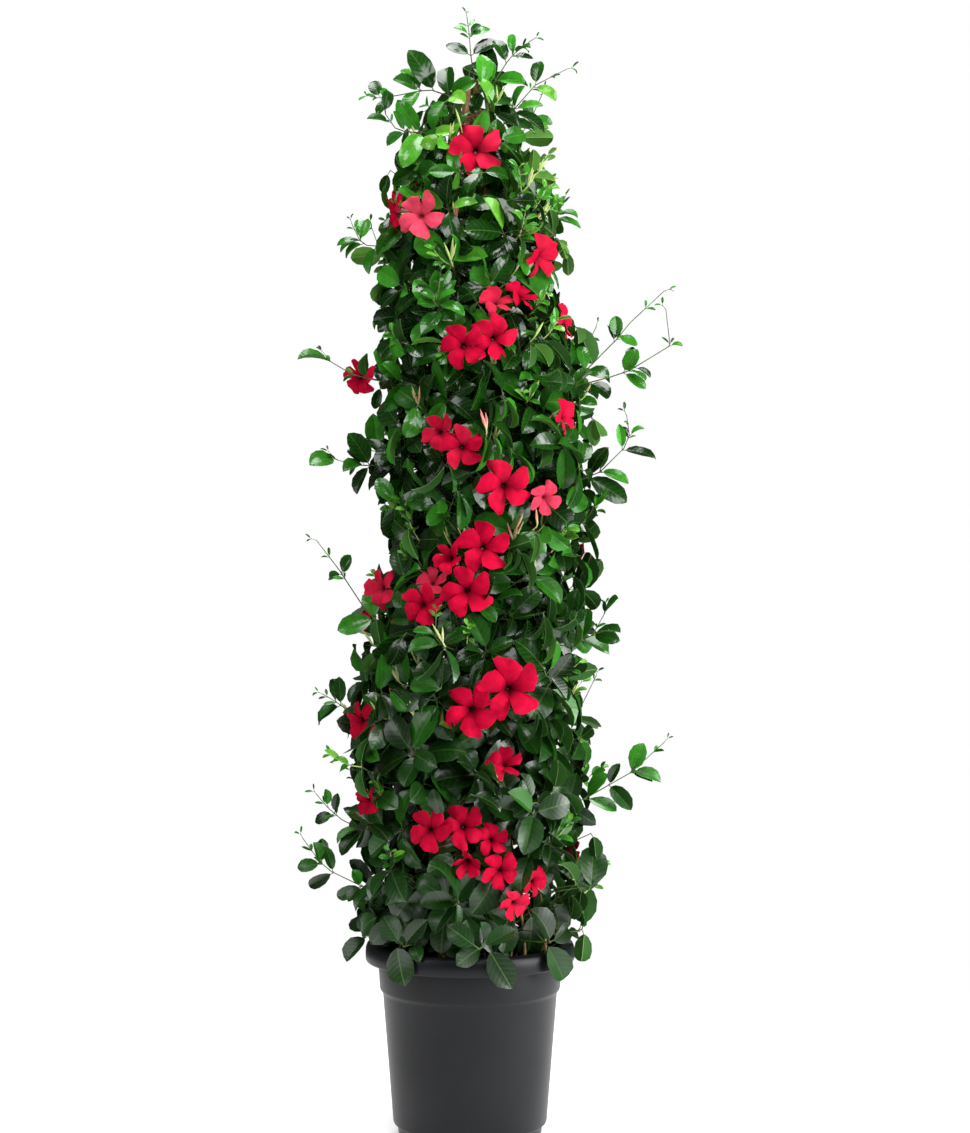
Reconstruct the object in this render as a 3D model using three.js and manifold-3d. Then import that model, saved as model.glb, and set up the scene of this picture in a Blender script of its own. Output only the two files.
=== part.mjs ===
// A mandevilla trained up three canes in its nursery pot.
// Millimetres, +Z up. The origin is the middle of the pot's base, and the plant's best side
// looks along -Y. Every stem carries its twigs, leaves, shoots, flower stalks and buds in one
// closed skin, grown ring by ring, and every flower is a body of its own at the end of a stalk.

import * as THREE from 'three';
import { mergeVertices } from 'three/addons/utils/BufferGeometryUtils.js';
import Module from 'manifold-3d';

const wasm = await Module();
wasm.setup();

// ---- driving dimensions ----

const pot = {
  sides: 24,
  baseThickness: 5,
  drainHoles: 6,
  drainHoleRadius: 6,
  drainHoleSides: 8,
  drainCircle: 68,
  // radius and height, up the outside
  outside: [
    [99, 0], [103, 4], [104, 14], [110.5, 20], [125.5, 204], [130, 212], [132, 250],
    [132.5, 269], [146, 269], [146.5, 251], [150, 253], [150, 270], [148, 275], [143, 277.5],
  ],
  // and down the inside
  inside: [[132, 276.5], [129.5, 273], [129, 250], [127, 216], [122.5, 204], [107, 20], [97, 5]],
};

const soil = { level: 250, fit: 0.4, bump: 3.5, ringRadii: [96, 52], flatFrom: 97 };

const cane = {
  count: 3, radius: 5, sides: 6, foot: 140, top: 1518, firstAngle: 8, soilRadius: 106, meetRadius: 9, meetHeight: 1500,
  bow: 1.25, upright: 12, bends: [400, 600, 850, 1100, 1320],
};

const tie = { height: 1462, cord: 1.5, turns: 12, cordSides: 5, clearance: 0.5 };

// The holes in the soil for canes and stems, and how far a cut runs past what it cuts.
const hole = { clearance: 0.5, stemSides: 8, above: 10 };
const cutPast = 1;

const stem = {
  count: 6, firstAngle: -6, twistPerMetre: 80, wobble: 6, sway: 4, driftShare: 0.4,
  wobbleHeight: 90, wobblePhase: 2, swayHeight: 70, swayPhase: 1.7,
  foot: 200, straightTo: 262, firstJoint: 290, jointStep: 52, jointJitter: 18, jointHalf: 3.5, bareTop: 18,
  footRadius: 4.2, tipRadius: 2.3, slopeReach: 4, tops: [1540, 1470, 1500, 1430, 1520, 1450],
  // height and distance from the axis
  reach: [[250, 58], [420, 78], [1150, 78], [1350, 48], [1462, 31], [1540, 20]],
};

// height and half width of the leafy crown, and how far its middle leans to +X
const crownHalf = [
  [264, 130], [320, 150], [400, 155], [500, 168], [600, 165], [700, 165], [800, 150], [870, 140], [950, 150],
  [1020, 158], [1080, 155], [1150, 145], [1200, 125], [1250, 115], [1300, 128], [1340, 118], [1390, 75],
  [1440, 75], [1480, 65], [1520, 50], [1560, 30],
];
const crownLean = [
  [250, 0], [600, -5], [750, 10], [880, 30], [1020, 30], [1150, 8], [1300, 0], [1450, -5], [1600, 0],
];

const leaf = {
  shortest: 48, longest: 66, slimmest: 0.62, broadest: 0.76, petiole: 7, petioleSpread: 5, keel: 2.2,
  // how far along the blade its two widest rings lie, and how much of the full width each has
  base: 0.22, baseShare: 0.88, shoulder: 0.64, shoulderShare: 0.94,
  // height and share of the full leaf length
  sizeByHeight: [[250, 1.08], [900, 1], [1400, 0.85], [1560, 0.7]],
  margin: 1.5, tipMargin: 2, keelMargin: 0.8, seenAt: [0, 0.3, 0.6, 1],
};

const twig = {
  radius: 1.6, jointLength: 6, tries: 16, leafTries: 28, margin: 1.2, overhang: 14, shrunk: 0.84,
  // where its end stands: turn from the joint, rise from it, and share of the crown's half width
  turn: [2, 46], rise: [-14, 48], share: [0.66, 0.92],
  // how its leaves lie, in degrees: turn of each over the crown's surface, how far the first one
  // leads and each strays, lift from the surface, and curl
  leafTurns: [0, 85, -85, 180], lead: 55, stray: 35, lift: [-4, 40], curl: [8, 38],
  faceUp: [0.1, 0.9], faceAside: 0.5, lean: 0.5,
};

const bloom = {
  tube: 0.42, tubeRadius: 2.2, petals: 5, thickness: 1.6, throat: 0.2, hinge: 0.15, ruffle: 0.035,
  sight: 110, sightBehind: -4, sightShare: 0.86,
};

const stalk = { radius: 1.5, straight: 11, sag: 6, gap: 0.3, jointLength: 5, tries: 6, reach: 22, mostAtJoint: 2 };

const bud = { length: 24, radius: 2.5, neck: 7, neckRadius: 1.1, belly: 0.4, tries: 6, ahead: 0.5, rise: 0.4 };

// Every flower on the best side: place (x, z), width across, where it looks (turn to +X, tip
// up, degrees), its spin, how far it is still closed (degrees) and how far it stands out.
const flowers = [
  { x: 9, z: 1404, width: 74, turn: 4, tip: 6, spin: 20, closed: 0, out: 6 },
  { x: -67, z: 1305, width: 64, turn: -12, tip: 4, spin: 52, closed: 0, out: 8 },
  { x: -112, z: 1322, width: 58, turn: -78, tip: 0, spin: 10, closed: 8, out: -4 },
  { x: 99, z: 1254, width: 66, turn: 58, tip: -20, spin: 34, closed: 6, out: 4 },
  { x: 40, z: 1190, width: 48, turn: 22, tip: 38, spin: 5, closed: 4, out: -6 },
  { x: 76, z: 1198, width: 48, turn: 44, tip: 34, spin: 48, closed: 4, out: -2 },
  { x: -8, z: 1120, width: 62, turn: -8, tip: 0, spin: 28, closed: 0, out: 10 },
  { x: 34, z: 1133, width: 63, turn: 6, tip: 4, spin: 60, closed: 0, out: -4 },
  { x: 138, z: 1164, width: 52, turn: 74, tip: 6, spin: 16, closed: 6, out: 0 },
  { x: -157, z: 1090, width: 52, turn: -28, tip: -14, spin: 2, closed: 0, out: 8 },
  { x: -44, z: 1003, width: 50, turn: -18, tip: 2, spin: 40, closed: 6, out: -6 },
  { x: -10, z: 981, width: 58, turn: 0, tip: -2, spin: 12, closed: 0, out: 10 },
  { x: 48, z: 928, width: 73, turn: 8, tip: -4, spin: 24, closed: 0, out: 6 },
  { x: 104, z: 912, width: 48, turn: 22, tip: -12, spin: 58, closed: 10, out: 4 },
  { x: 134, z: 1026, width: 48, turn: 62, tip: 0, spin: 30, closed: 6, out: 0 },
  { x: 20, z: 845, width: 72, turn: 6, tip: 10, spin: 8, closed: 0, out: 2 },
  { x: -24, z: 828, width: 50, turn: -24, tip: 4, spin: 44, closed: 34, out: 10 },
  { x: -3, z: 784, width: 70, turn: -4, tip: -8, spin: 26, closed: 0, out: 10 },
  { x: -64, z: 764, width: 56, turn: -20, tip: -4, spin: 56, closed: 4, out: 6 },
  { x: -54, z: 798, width: 46, turn: -16, tip: 22, spin: 14, closed: 16, out: -6 },
  { x: -127, z: 786, width: 58, turn: -46, tip: 0, spin: 32, closed: 0, out: 2 },
  { x: -151, z: 748, width: 44, turn: -74, tip: -8, spin: 50, closed: 12, out: 0 },
  { x: 54, z: 650, width: 84, turn: 10, tip: 2, spin: 18, closed: 0, out: 12 },
  { x: 2, z: 620, width: 72, turn: -8, tip: -8, spin: 46, closed: 0, out: 0 },
  { x: 49, z: 547, width: 50, turn: 10, tip: 42, spin: 6, closed: 0, out: 4 },
  { x: -156, z: 600, width: 58, turn: -50, tip: 0, spin: 38, closed: 0, out: 2 },
  { x: -144, z: 490, width: 46, turn: -52, tip: -6, spin: 22, closed: 8, out: 2 },
  { x: -52, z: 457, width: 60, turn: -16, tip: 2, spin: 54, closed: 0, out: 10 },
  { x: -8, z: 462, width: 60, turn: 2, tip: 10, spin: 30, closed: 0, out: -4 },
  { x: -2, z: 414, width: 48, turn: -4, tip: -26, spin: 10, closed: 38, out: 6 },
  { x: 42, z: 400, width: 54, turn: 12, tip: -8, spin: 42, closed: 0, out: 6 },
  { x: 34, z: 446, width: 46, turn: 18, tip: 20, spin: 4, closed: 6, out: -8 },
  { x: 62, z: 352, width: 44, turn: 20, tip: -18, spin: 26, closed: 8, out: 2 },
  { x: 92, z: 380, width: 44, turn: 48, tip: -4, spin: 50, closed: 10, out: 0 },
];

const backFlowers = {
  count: 12, lowest: 400, highest: 1370, firstAngle: 14, arc: 152, turnShare: 0.618, narrowest: 56, widest: 74,
  swing: 0.3, nod: 0.35,
};

// Young shoots that stray out of the crown: two control points and the end, then for each
// leaf joint its place along the shoot (0 to 1), the leaves' length and how many stand there.
const shoots = [
  { by: [-2, -5, 1490], over: [4, -8, 1560], end: [-4, -5, 1606], leaves: [[0.3, 50, 2], [0.84, 20, 2]] },
  { by: [29, -15, 1497], over: [44, -20, 1545], end: [88, -15, 1572], leaves: [[0.4, 44, 2], [0.78, 30, 1]] },
  { by: [50, -20, 1440], over: [74, -20, 1515], end: [139, -10, 1532], leaves: [[0.45, 34, 1], [0.72, 32, 1]] },
  { by: [-60, -20, 1522], over: [-100, -25, 1480], end: [-140, -20, 1490], leaves: [[0.45, 38, 2], [0.9, 28, 2]] },
  { by: [-72, -60, 1436], over: [-118, -70, 1412], end: [-122, -50, 1476], leaves: [[0.5, 30, 2], [0.9, 28, 1]] },
  { by: [-125, -30, 1275], over: [-152, -30, 1256], end: [-168, -30, 1305], leaves: [[0.8, 32, 2]] },
  { by: [-120, -40, 1085], over: [-176, -40, 1078], end: [-206, -40, 1118], leaves: [[0.5, 38, 1], [0.92, 44, 1]] },
  { by: [-115, -40, 968], over: [-175, -40, 950], end: [-196, -40, 975], leaves: [[0.55, 38, 1], [0.92, 42, 1]] },
  { by: [-186, -40, 748], over: [-182, -40, 842], end: [-218, -40, 854], leaves: [[0.25, 44, 1], [0.6, 24, 1]] },
  { by: [-150, -50, 590], over: [-180, -50, 622], end: [-207, -50, 635], leaves: [[0.8, 24, 2]] },
  { by: [-150, -50, 424], over: [-184, -50, 452], end: [-216, -50, 492], leaves: [[0.45, 36, 2], [0.85, 22, 1]] },
  { by: [-150, -50, 352], over: [-204, -50, 372], end: [-236, -50, 430], leaves: [[0.4, 26, 2], [0.78, 34, 1]] },
  { by: [190, -30, 1072], over: [228, -30, 1190], end: [277, -30, 1210], leaves: [[0.3, 40, 1], [0.55, 28, 2]] },
  { by: [206, -30, 1082], over: [334, -30, 1118], end: [280, -30, 1184], leaves: [[0.18, 38, 1], [0.42, 28, 1], [0.7, 16, 2]] },
  { by: [188, -30, 938], over: [244, -30, 985], end: [224, -30, 1032], leaves: [[0.4, 30, 2], [0.8, 20, 1]] },
  { by: [160, -40, 690], over: [190, -40, 722], end: [192, -40, 756], leaves: [[0.6, 46, 1], [0.95, 36, 1]] },
  { by: [170, -40, 486], over: [236, -40, 518], end: [276, -40, 566], leaves: [[0.35, 44, 2], [0.68, 40, 2]] },
  { by: [95, -40, 1285], over: [122, -40, 1302], end: [134, -40, 1338], leaves: [[0.8, 26, 2]] },
  { by: [-50, -150, 690], over: [-48, -184, 715], end: [-45, -174, 750], leaves: [[0.7, 24, 2]] },
  { by: [-30, -80, 1150], over: [-52, -154, 1160], end: [-40, -158, 1215], leaves: [[0.75, 24, 2]] },
  { by: [60, 40, 1440], over: [98, 60, 1468], end: [108, 80, 1520], leaves: [[0.6, 32, 2]] },
  { by: [-100, 70, 1250], over: [-138, 115, 1262], end: [-150, 140, 1330], leaves: [[0.7, 34, 2]] },
  { by: [120, 90, 1080], over: [172, 135, 1104], end: [190, 160, 1180], leaves: [[0.5, 38, 2]] },
  { by: [-90, 130, 900], over: [-124, 180, 914], end: [-130, 205, 985], leaves: [[0.5, 40, 2]] },
  { by: [20, 150, 760], over: [32, 202, 782], end: [30, 222, 850], leaves: [[0.6, 38, 2]] },
  { by: [130, 110, 560], over: [170, 145, 582], end: [190, 165, 650], leaves: [[0.6, 40, 2]] },
  { by: [-120, 110, 420], over: [-158, 145, 434], end: [-180, 160, 500], leaves: [[0.6, 36, 2]] },
];
const shoot = {
  radius: 1.4, tipRadius: 0.8, rings: 3, jointHalf: 2, tipLength: 8, tries: 12, mostAtJoint: 3, apart: 0.08,
  // how its leaves lie, in degrees, and how far back their front half reaches
  splay: 52, splaySpread: 30, roll: 70, curl: [14, 36], lean: 0.3, frontTo: 60, faceOut: 0.8,
};

// Twigs that hang over the rim, evenly round it.
const rimTwigs = {
  count: 9, firstAngle: 275, radius: 159, height: 292, leafLength: 54, spread: 7, from: 90, fromRise: 10, tries: 4,
  mostAtJoint: 2,
};

const paint = {
  pot: { color: 0x2e2e30, roughness: 0.55, metalness: 0 },
  soil: { color: 0x3a2a1f, roughness: 0.95, metalness: 0 },
  cane: { color: 0x9a7a4c, roughness: 0.6, metalness: 0 },
  tie: { color: 0x4a3a28, roughness: 0.8, metalness: 0 },
  foliage: { color: 0x1f5a24, roughness: 0.42, metalness: 0 },
  petal: { color: 0xd8143c, roughness: 0.5, metalness: 0 },
};

// ---- small helpers ----

const numbers = (count) => Array.from({ length: count }, (_, i) => i);
const vector = (x, y, z) => new THREE.Vector3(x, y, z);
const zUp = vector(0, 0, 1);
const radians = THREE.MathUtils.degToRad;
const blend = THREE.MathUtils.lerp;
const sum = (...parts) => parts.reduce((total, part) => total.add(part), vector(0, 0, 0));
const times = (direction, length) => direction.clone().multiplyScalar(length);
const cross = (a, b) => vector(0, 0, 0).crossVectors(a, b);

const within = ([least, most], share) => least + (most - least) * share;

// One number from 0 to 1 for each set of five keys, the same at every build.
function chance(a, b, c, d, e) {
  const wave = Math.sin(a * 12.9898 + b * 78.233 + c * 37.719 + d * 4.581 + e * 9.173 + 0.5) * 43758.5453;
  return wave - Math.floor(wave);
}

// The value of a table of [height, value] rows at a height, straight between the rows.
function readTable(rows, height) {
  if (height <= rows[0][0]) return rows[0][1];
  for (let i = 1; i < rows.length; i += 1) {
    const [low, lowValue] = rows[i - 1];
    const [high, highValue] = rows[i];
    if (height <= high) return blend(lowValue, highValue, (height - low) / (high - low));
  }
  return rows.at(-1)[1];
}

const crownMiddle = (z) => vector(readTable(crownLean, z), 0, z);
const outwardAt = (angle) => vector(Math.cos(angle), Math.sin(angle), 0);

// A direction turned from -Y towards +X and tipped up.
function looking(turn, tip) {
  return vector(Math.sin(turn) * Math.cos(tip), -Math.cos(turn) * Math.cos(tip), Math.sin(tip));
}

// ---- solids made by revolving and cutting ----

const weldGap = 1e-3;

function weld(geometry) {
  geometry.deleteAttribute('normal');
  geometry.deleteAttribute('uv');
  const welded = mergeVertices(geometry, weldGap);
  const index = welded.index.array;
  const kept = [];
  for (let i = 0; i < index.length; i += 3) {
    const [a, b, c] = index.slice(i, i + 3);
    if (a !== b && b !== c && c !== a) kept.push(a, b, c);
  }
  welded.setIndex(kept);
  return welded;
}

function toSolid(geometry) {
  const welded = weld(geometry);
  return new wasm.Manifold(new wasm.Mesh({
    numProp: 3,
    vertProperties: new Float32Array(welded.attributes.position.array),
    triVerts: new Uint32Array(welded.index.array),
  }));
}

function fromSolid(solid) {
  const mesh = solid.getMesh();
  const geometry = new THREE.BufferGeometry();
  geometry.setAttribute('position', new THREE.BufferAttribute(mesh.vertProperties, 3));
  geometry.setIndex(new THREE.BufferAttribute(mesh.triVerts, 1));
  return geometry;
}

function revolve(profile) {
  const points = profile.map(([radius, height]) => new THREE.Vector2(radius, height));
  return new THREE.LatheGeometry(points, pot.sides).rotateX(Math.PI / 2);
}

// A straight round bar from one point to another.
function bar(from, to, radius, sides) {
  const along = to.clone().sub(from);
  const geometry = new THREE.CylinderGeometry(radius, radius, along.length(), sides);
  geometry.translate(0, along.length() / 2, 0);
  geometry.applyQuaternion(new THREE.Quaternion().setFromUnitVectors(vector(0, 1, 0), along.normalize()));
  return geometry.translate(from.x, from.y, from.z);
}

function makePot() {
  let solid = toSolid(revolve([[0, 0], ...pot.outside, ...pot.inside, [0, pot.baseThickness]]));
  for (let i = 0; i < pot.drainHoles; i += 1) {
    const place = times(outwardAt((2 * Math.PI * i) / pot.drainHoles), pot.drainCircle);
    const from = sum(place, vector(0, 0, -cutPast));
    const to = sum(place, vector(0, 0, pot.baseThickness + cutPast));
    solid = solid.subtract(toSolid(bar(from, to, pot.drainHoleRadius, pot.drainHoleSides)));
  }
  return fromSolid(solid);
}

// The soil fills the pot up to its level, lies in soft bumps, and has a plain hole for each
// cane and stem that stands in it.
function makeSoil(holes) {
  const side = pot.inside.filter(([, z]) => z <= soil.level).reverse();
  const wall = side.map(([radius, z]) => [radius - soil.fit, z + soil.fit]);
  wall[wall.length - 1][1] = soil.level;
  const top = soil.ringRadii.map((radius) => [radius, soil.level]);
  const geometry = weld(revolve([[0, pot.baseThickness + soil.fit], ...wall, ...top, [0, soil.level]]));
  const points = geometry.attributes.position;
  for (let i = 0; i < points.count; i += 1) {
    const radius = Math.hypot(points.getX(i), points.getY(i));
    if (points.getZ(i) < soil.level || radius > soil.flatFrom) continue;
    points.setZ(i, soil.level + soil.bump * (chance(i, 3, 5, 7, 1) * 2 - 1));
  }
  let solid = toSolid(geometry);
  for (const one of holes) solid = solid.subtract(toSolid(one));
  return fromSolid(solid);
}

// ---- canes and their tie ----

// A cane stands upright in the soil and bows in to meet the others above.
function canePoint(number, z) {
  const risen = Math.max(z - soil.level - cane.upright, 0) / (cane.meetHeight - soil.level - cane.upright);
  const radius = cane.soilRadius - (cane.soilRadius - cane.meetRadius) * risen ** cane.bow;
  const angle = radians(cane.firstAngle + (360 / cane.count) * number);
  return sum(times(outwardAt(angle), radius), vector(0, 0, z));
}

function makeCane(number) {
  const heights = [cane.foot, soil.level + cane.upright, ...cane.bends, cane.top];
  const steps = heights.length - 1;
  const geometry = new THREE.CylinderGeometry(cane.radius, cane.radius, steps, cane.sides, steps);
  geometry.rotateX(Math.PI / 2);
  const points = geometry.attributes.position;
  for (let i = 0; i < points.count; i += 1) {
    const middle = canePoint(number, heights[Math.round(points.getZ(i) + steps / 2)]);
    points.setXYZ(i, points.getX(i) + middle.x, points.getY(i) + middle.y, middle.z);
  }
  return geometry;
}

function caneHole(number) {
  const from = canePoint(number, cane.foot - hole.clearance);
  return bar(from, canePoint(number, soil.level + cane.upright), cane.radius + hole.clearance, cane.sides);
}

function makeTie() {
  const outermost = Math.hypot(canePoint(0, tie.height).x, canePoint(0, tie.height).y) + cane.radius;
  const ring = (outermost + tie.clearance + tie.cord) / Math.cos(Math.PI / tie.turns);
  const geometry = new THREE.TorusGeometry(ring, tie.cord, tie.cordSides, tie.turns);
  return weld(geometry.translate(0, 0, tie.height));
}

// ---- a closed skin of triangles that grows ring by ring ----

// Three corners round a centre, anticlockwise seen from the growing end.
function rodRing(centre, along, hint, radius) {
  const side = cross(hint, along).normalize();
  const up = cross(along, side);
  return [90, 210, 330].map((degrees) => {
    const turn = radians(degrees);
    return sum(centre, times(side, radius * Math.cos(turn)), times(up, radius * Math.sin(turn)));
  });
}

const steepest = 0.85;
const steady = (along) => (Math.abs(along.z) < steepest ? zUp : vector(1, 0, 0));

function tube(from, to) {
  return [0, 1, 2].flatMap((i) => {
    const next = (i + 1) % 3;
    return [[from[i], from[next], to[next]], [from[i], to[next], to[i]]];
  });
}

// A tube whose far ring is turned to whichever corner gives it the least twist.
function easyTube(from, to) {
  const spans = [0, 1, 2].map((shift) => from.reduce(
    (total, corner, i) => total + corner.distanceToSquared(to[(i + shift) % 3]), 0));
  const shift = spans.indexOf(Math.min(...spans));
  return tube(from, [0, 1, 2].map((i) => to[(i + shift) % 3]));
}

const point = (ring, tip) => [0, 1, 2].map((i) => [ring[i], ring[(i + 1) % 3], tip]);

function normalOf([a, b, c]) {
  return cross(b.clone().sub(a), c.clone().sub(a)).normalize();
}

// A stretch of rod between two rings, whose faces can each be opened once for a branch.
function joint(centre, along, faces) {
  return { centre, along, faces, taken: 0 };
}

// The free face of a joint that looks most along a direction, if one looks along it at all.
const leastFacing = 0.12;

function openable(skin, at, direction) {
  const free = at.faces.filter((face) => skin.has(face));
  const best = free.reduce((top, face) => {
    const facing = normalOf(face).dot(direction);
    return facing > top.facing ? { face, facing } : top;
  }, { face: null, facing: leastFacing });
  return best.face;
}

function toGeometry(skin) {
  const numbers = new Map();
  const positions = [];
  const index = [];
  for (const face of skin) {
    for (const corner of face) {
      if (!numbers.has(corner)) {
        numbers.set(corner, numbers.size);
        positions.push(corner.x, corner.y, corner.z);
      }
      index.push(numbers.get(corner));
    }
  }
  const geometry = new THREE.BufferGeometry();
  geometry.setAttribute('position', new THREE.Float32BufferAttribute(positions, 3));
  geometry.setIndex(index);
  return geometry;
}

function facesOf(geometry) {
  const points = geometry.attributes.position;
  const corners = Array.from({ length: points.count }, (_, i) => vector(0, 0, 0).fromBufferAttribute(points, i));
  const faces = [];
  for (let i = 0; i < geometry.index.count; i += 3) {
    faces.push([0, 1, 2].map((j) => corners[geometry.index.getX(i + j)]));
  }
  return faces;
}

// ---- what is already there, so that nothing grows through it ----

const cell = 30;
const parallel = 1e-9;
const filled = new Map();

function boxOf(face) {
  return new THREE.Box3().setFromPoints(face);
}

function cellsOf(box) {
  const keys = [];
  const low = box.min.clone().divideScalar(cell).floor();
  const high = box.max.clone().divideScalar(cell).floor();
  for (let x = low.x; x <= high.x; x += 1) {
    for (let y = low.y; y <= high.y; y += 1) {
      for (let z = low.z; z <= high.z; z += 1) keys.push(`${x},${y},${z}`);
    }
  }
  return keys;
}

function remember(faces) {
  for (const face of faces) {
    const entry = { face, box: boxOf(face) };
    for (const key of cellsOf(entry.box)) {
      if (!filled.has(key)) filled.set(key, []);
      filled.get(key).push(entry);
    }
  }
}

function edgeCrosses(from, to, [a, b, c]) {
  const way = to.clone().sub(from);
  const ab = b.clone().sub(a);
  const ac = c.clone().sub(a);
  const slant = cross(way, ac);
  const size = ab.dot(slant);
  if (Math.abs(size) < parallel) return false;
  const start = from.clone().sub(a);
  const u = start.dot(slant) / size;
  if (u < 0 || u > 1) return false;
  const lift = cross(start, ab);
  const v = way.dot(lift) / size;
  if (v < 0 || u + v > 1) return false;
  const t = ac.dot(lift) / size;
  return t >= 0 && t <= 1;
}

// Whether two faces cross. An edge that ends at a corner of both can't tell, so it isn't asked.
function facesCross(one, other) {
  const asked = (from, to, face) => !face.includes(from) && !face.includes(to) && edgeCrosses(from, to, face);
  return [0, 1, 2].some((i) => asked(one[i], one[(i + 1) % 3], other) || asked(other[i], other[(i + 1) % 3], one));
}

function blocked(faces) {
  return faces.some((face) => {
    const box = boxOf(face);
    return cellsOf(box).some((key) => (filled.get(key) ?? []).some((entry) => entry.box.intersectsBox(box)
      && facesCross(face, entry.face)));
  });
}

// Whether new faces can stand: clear of each other and of all that is there.
function fits(faces) {
  const tangled = faces.some((face, i) => faces.slice(i + 1).some((other) => facesCross(face, other)));
  return !tangled && !blocked(faces);
}

// ---- leaves ----

// A ring across a blade: its two edges and the keel under its rib, at a share of its length.
function bladeRing(blade, share, half, keel) {
  const bend = blade.curl * share;
  const along = times(blade.along, Math.sin(bend) / blade.curl);
  const drop = times(blade.up, -(1 - Math.cos(bend)) / blade.curl);
  const centre = sum(blade.neck, times(sum(along, drop), blade.length));
  const up = sum(times(blade.up, Math.cos(bend)), times(blade.along, Math.sin(bend)));
  const side = times(cross(blade.up, blade.along), half);
  return { centre, ring: [sum(centre, side), sum(centre, times(side, -1)), sum(centre, times(up, -keel))] };
}

// A leaf from its root's three corners: two rings across the blade, then its tip.
function bladeFaces(root, blade, sideMargin, tipMargin, keelMargin) {
  const half = blade.width / 2;
  const keel = leaf.keel + keelMargin;
  const base = bladeRing(blade, leaf.base, half * leaf.baseShare + sideMargin, keel).ring;
  const shoulder = bladeRing(blade, leaf.shoulder, half * leaf.shoulderShare + sideMargin, keel).ring;
  const tip = bladeRing(blade, 1 + tipMargin / blade.length, 0, 0).centre;
  return [...easyTube(root, base), ...tube(base, shoulder), ...point(shoulder, tip)];
}

// The blade whose petiole leaves a joint, with its face turned towards one direction.
function layBlade(from, way, petiole, along, facing, length, slimness, curl) {
  const neck = sum(from, times(way, petiole));
  const across = cross(facing, along).normalize();
  return { neck, along, up: cross(along, across), length, width: length * slimness, curl };
}

const sights = [];
const leafMiddles = [];
const bladeMiddle = (blade) => bladeRing(blade, 0.5, 0, 0).centre;

// How far a place is from the nearest of some others.
function roomAt(place, others) {
  return others.reduce((least, other) => Math.min(least, place.distanceTo(other)), Infinity);
}

function hidesBloom(blade) {
  return leaf.seenAt.some((share) => {
    const place = bladeRing(blade, share, 0, 0).centre;
    return sights.some(({ centre, facing, radius }) => {
      const away = place.clone().sub(centre);
      const ahead = away.dot(facing);
      const aside = away.addScaledVector(facing, -ahead).length();
      return ahead > bloom.sightBehind && ahead < bloom.sight && aside < radius;
    });
  });
}

// Grows one leaf from a joint, if it fits there.
function growLeaf(skin, source, blade, way) {
  const root = openable(skin, source, way);
  if (!root || hidesBloom(blade)) return false;
  const grown = bladeFaces(root, blade, 0, 0, 0);
  if (!fits(grown) || blocked(bladeFaces(root, blade, leaf.margin, leaf.tipMargin, leaf.keelMargin))) return false;
  skin.delete(root);
  grown.forEach((face) => skin.add(face));
  remember(grown);
  leafMiddles.push(bladeMiddle(blade));
  return true;
}

// ---- stems ----

function stemPoint(number, z) {
  const height = Math.max(z, stem.straightTo);
  const turned = (stem.twistPerMetre * (height - soil.level)) / 1000;
  const wobble = stem.wobble * Math.sin(height / stem.wobbleHeight + stem.wobblePhase * number);
  const angle = radians(stem.firstAngle + (360 / stem.count) * number + turned + wobble);
  const reach = readTable(stem.reach, height) + stem.sway * Math.sin(height / stem.swayHeight + stem.swayPhase * number);
  const lean = stem.driftShare * readTable(crownLean, height);
  return sum(times(outwardAt(angle), reach), vector(lean, 0, z));
}

function stemHole(number) {
  const top = sum(stemPoint(number, 0), vector(0, 0, soil.level + hole.above));
  const foot = sum(stemPoint(number, 0), vector(0, 0, stem.foot - hole.clearance));
  const corner = (stem.footRadius + hole.clearance) / Math.cos(Math.PI / hole.stemSides);
  return bar(foot, top, corner, hole.stemSides);
}

function jointHeights(number) {
  const top = stem.tops[number];
  const heights = [];
  for (let i = 0; stem.firstJoint + stem.jointStep * i < top - stem.bareTop; i += 1) {
    heights.push(stem.firstJoint + stem.jointStep * i + stem.jointJitter * (chance(number, i, 1, 1, 1) - 0.5));
  }
  return heights;
}

function growStem(number) {
  const top = stem.tops[number];
  const skin = new Set();
  const joints = [];
  const ringAt = (z) => {
    const here = stemPoint(number, z);
    const along = stemPoint(number, z + stem.slopeReach).sub(stemPoint(number, z - stem.slopeReach)).normalize();
    const radius = blend(stem.footRadius, stem.tipRadius, (z - stem.foot) / (top - stem.foot));
    const outward = vector(here.x, here.y, 0).normalize();
    return { here, along, ring: rodRing(here, along, outward, radius) };
  };
  let last = ringAt(stem.foot).ring;
  skin.add([last[2], last[1], last[0]]);
  const grow = (ring) => {
    const faces = tube(last, ring);
    faces.forEach((face) => skin.add(face));
    last = ring;
    return faces;
  };
  grow(ringAt(stem.straightTo - stem.slopeReach).ring);
  for (const z of jointHeights(number)) {
    grow(ringAt(z - stem.jointHalf).ring);
    const faces = grow(ringAt(z + stem.jointHalf).ring);
    const { here, along } = ringAt(z);
    joints.push(joint(here, along, faces));
  }
  point(last, stemPoint(number, top)).forEach((face) => skin.add(face));
  remember(skin);
  return { number, skin, joints };
}

// The joints nearest a place, nearest first, among those with room for another branch.
function nearestJoints(stems, place, most) {
  const all = stems.flatMap(({ skin, joints }) => joints.map((at) => ({ skin, at })));
  const free = all.filter(({ at }) => at.taken < most);
  return free.sort((one, other) => one.at.centre.distanceTo(place) - other.at.centre.distanceTo(place));
}

// ---- blooms ----

// A petal's outline by angle from its middle, distance from the throat and height, the last
// two as shares of the bloom's width. Its far corner is skewed, as on a pinwheel.
const petalOutline = [[-36, bloom.hinge, -0.05], [-31, 0.33, 0.012], [-22, 0.47, 0.02], [22, 0.52, -0.02], [27, 0.36, -0.03]];
const petalMiddle = [0, 0.3, -0.02];

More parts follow.
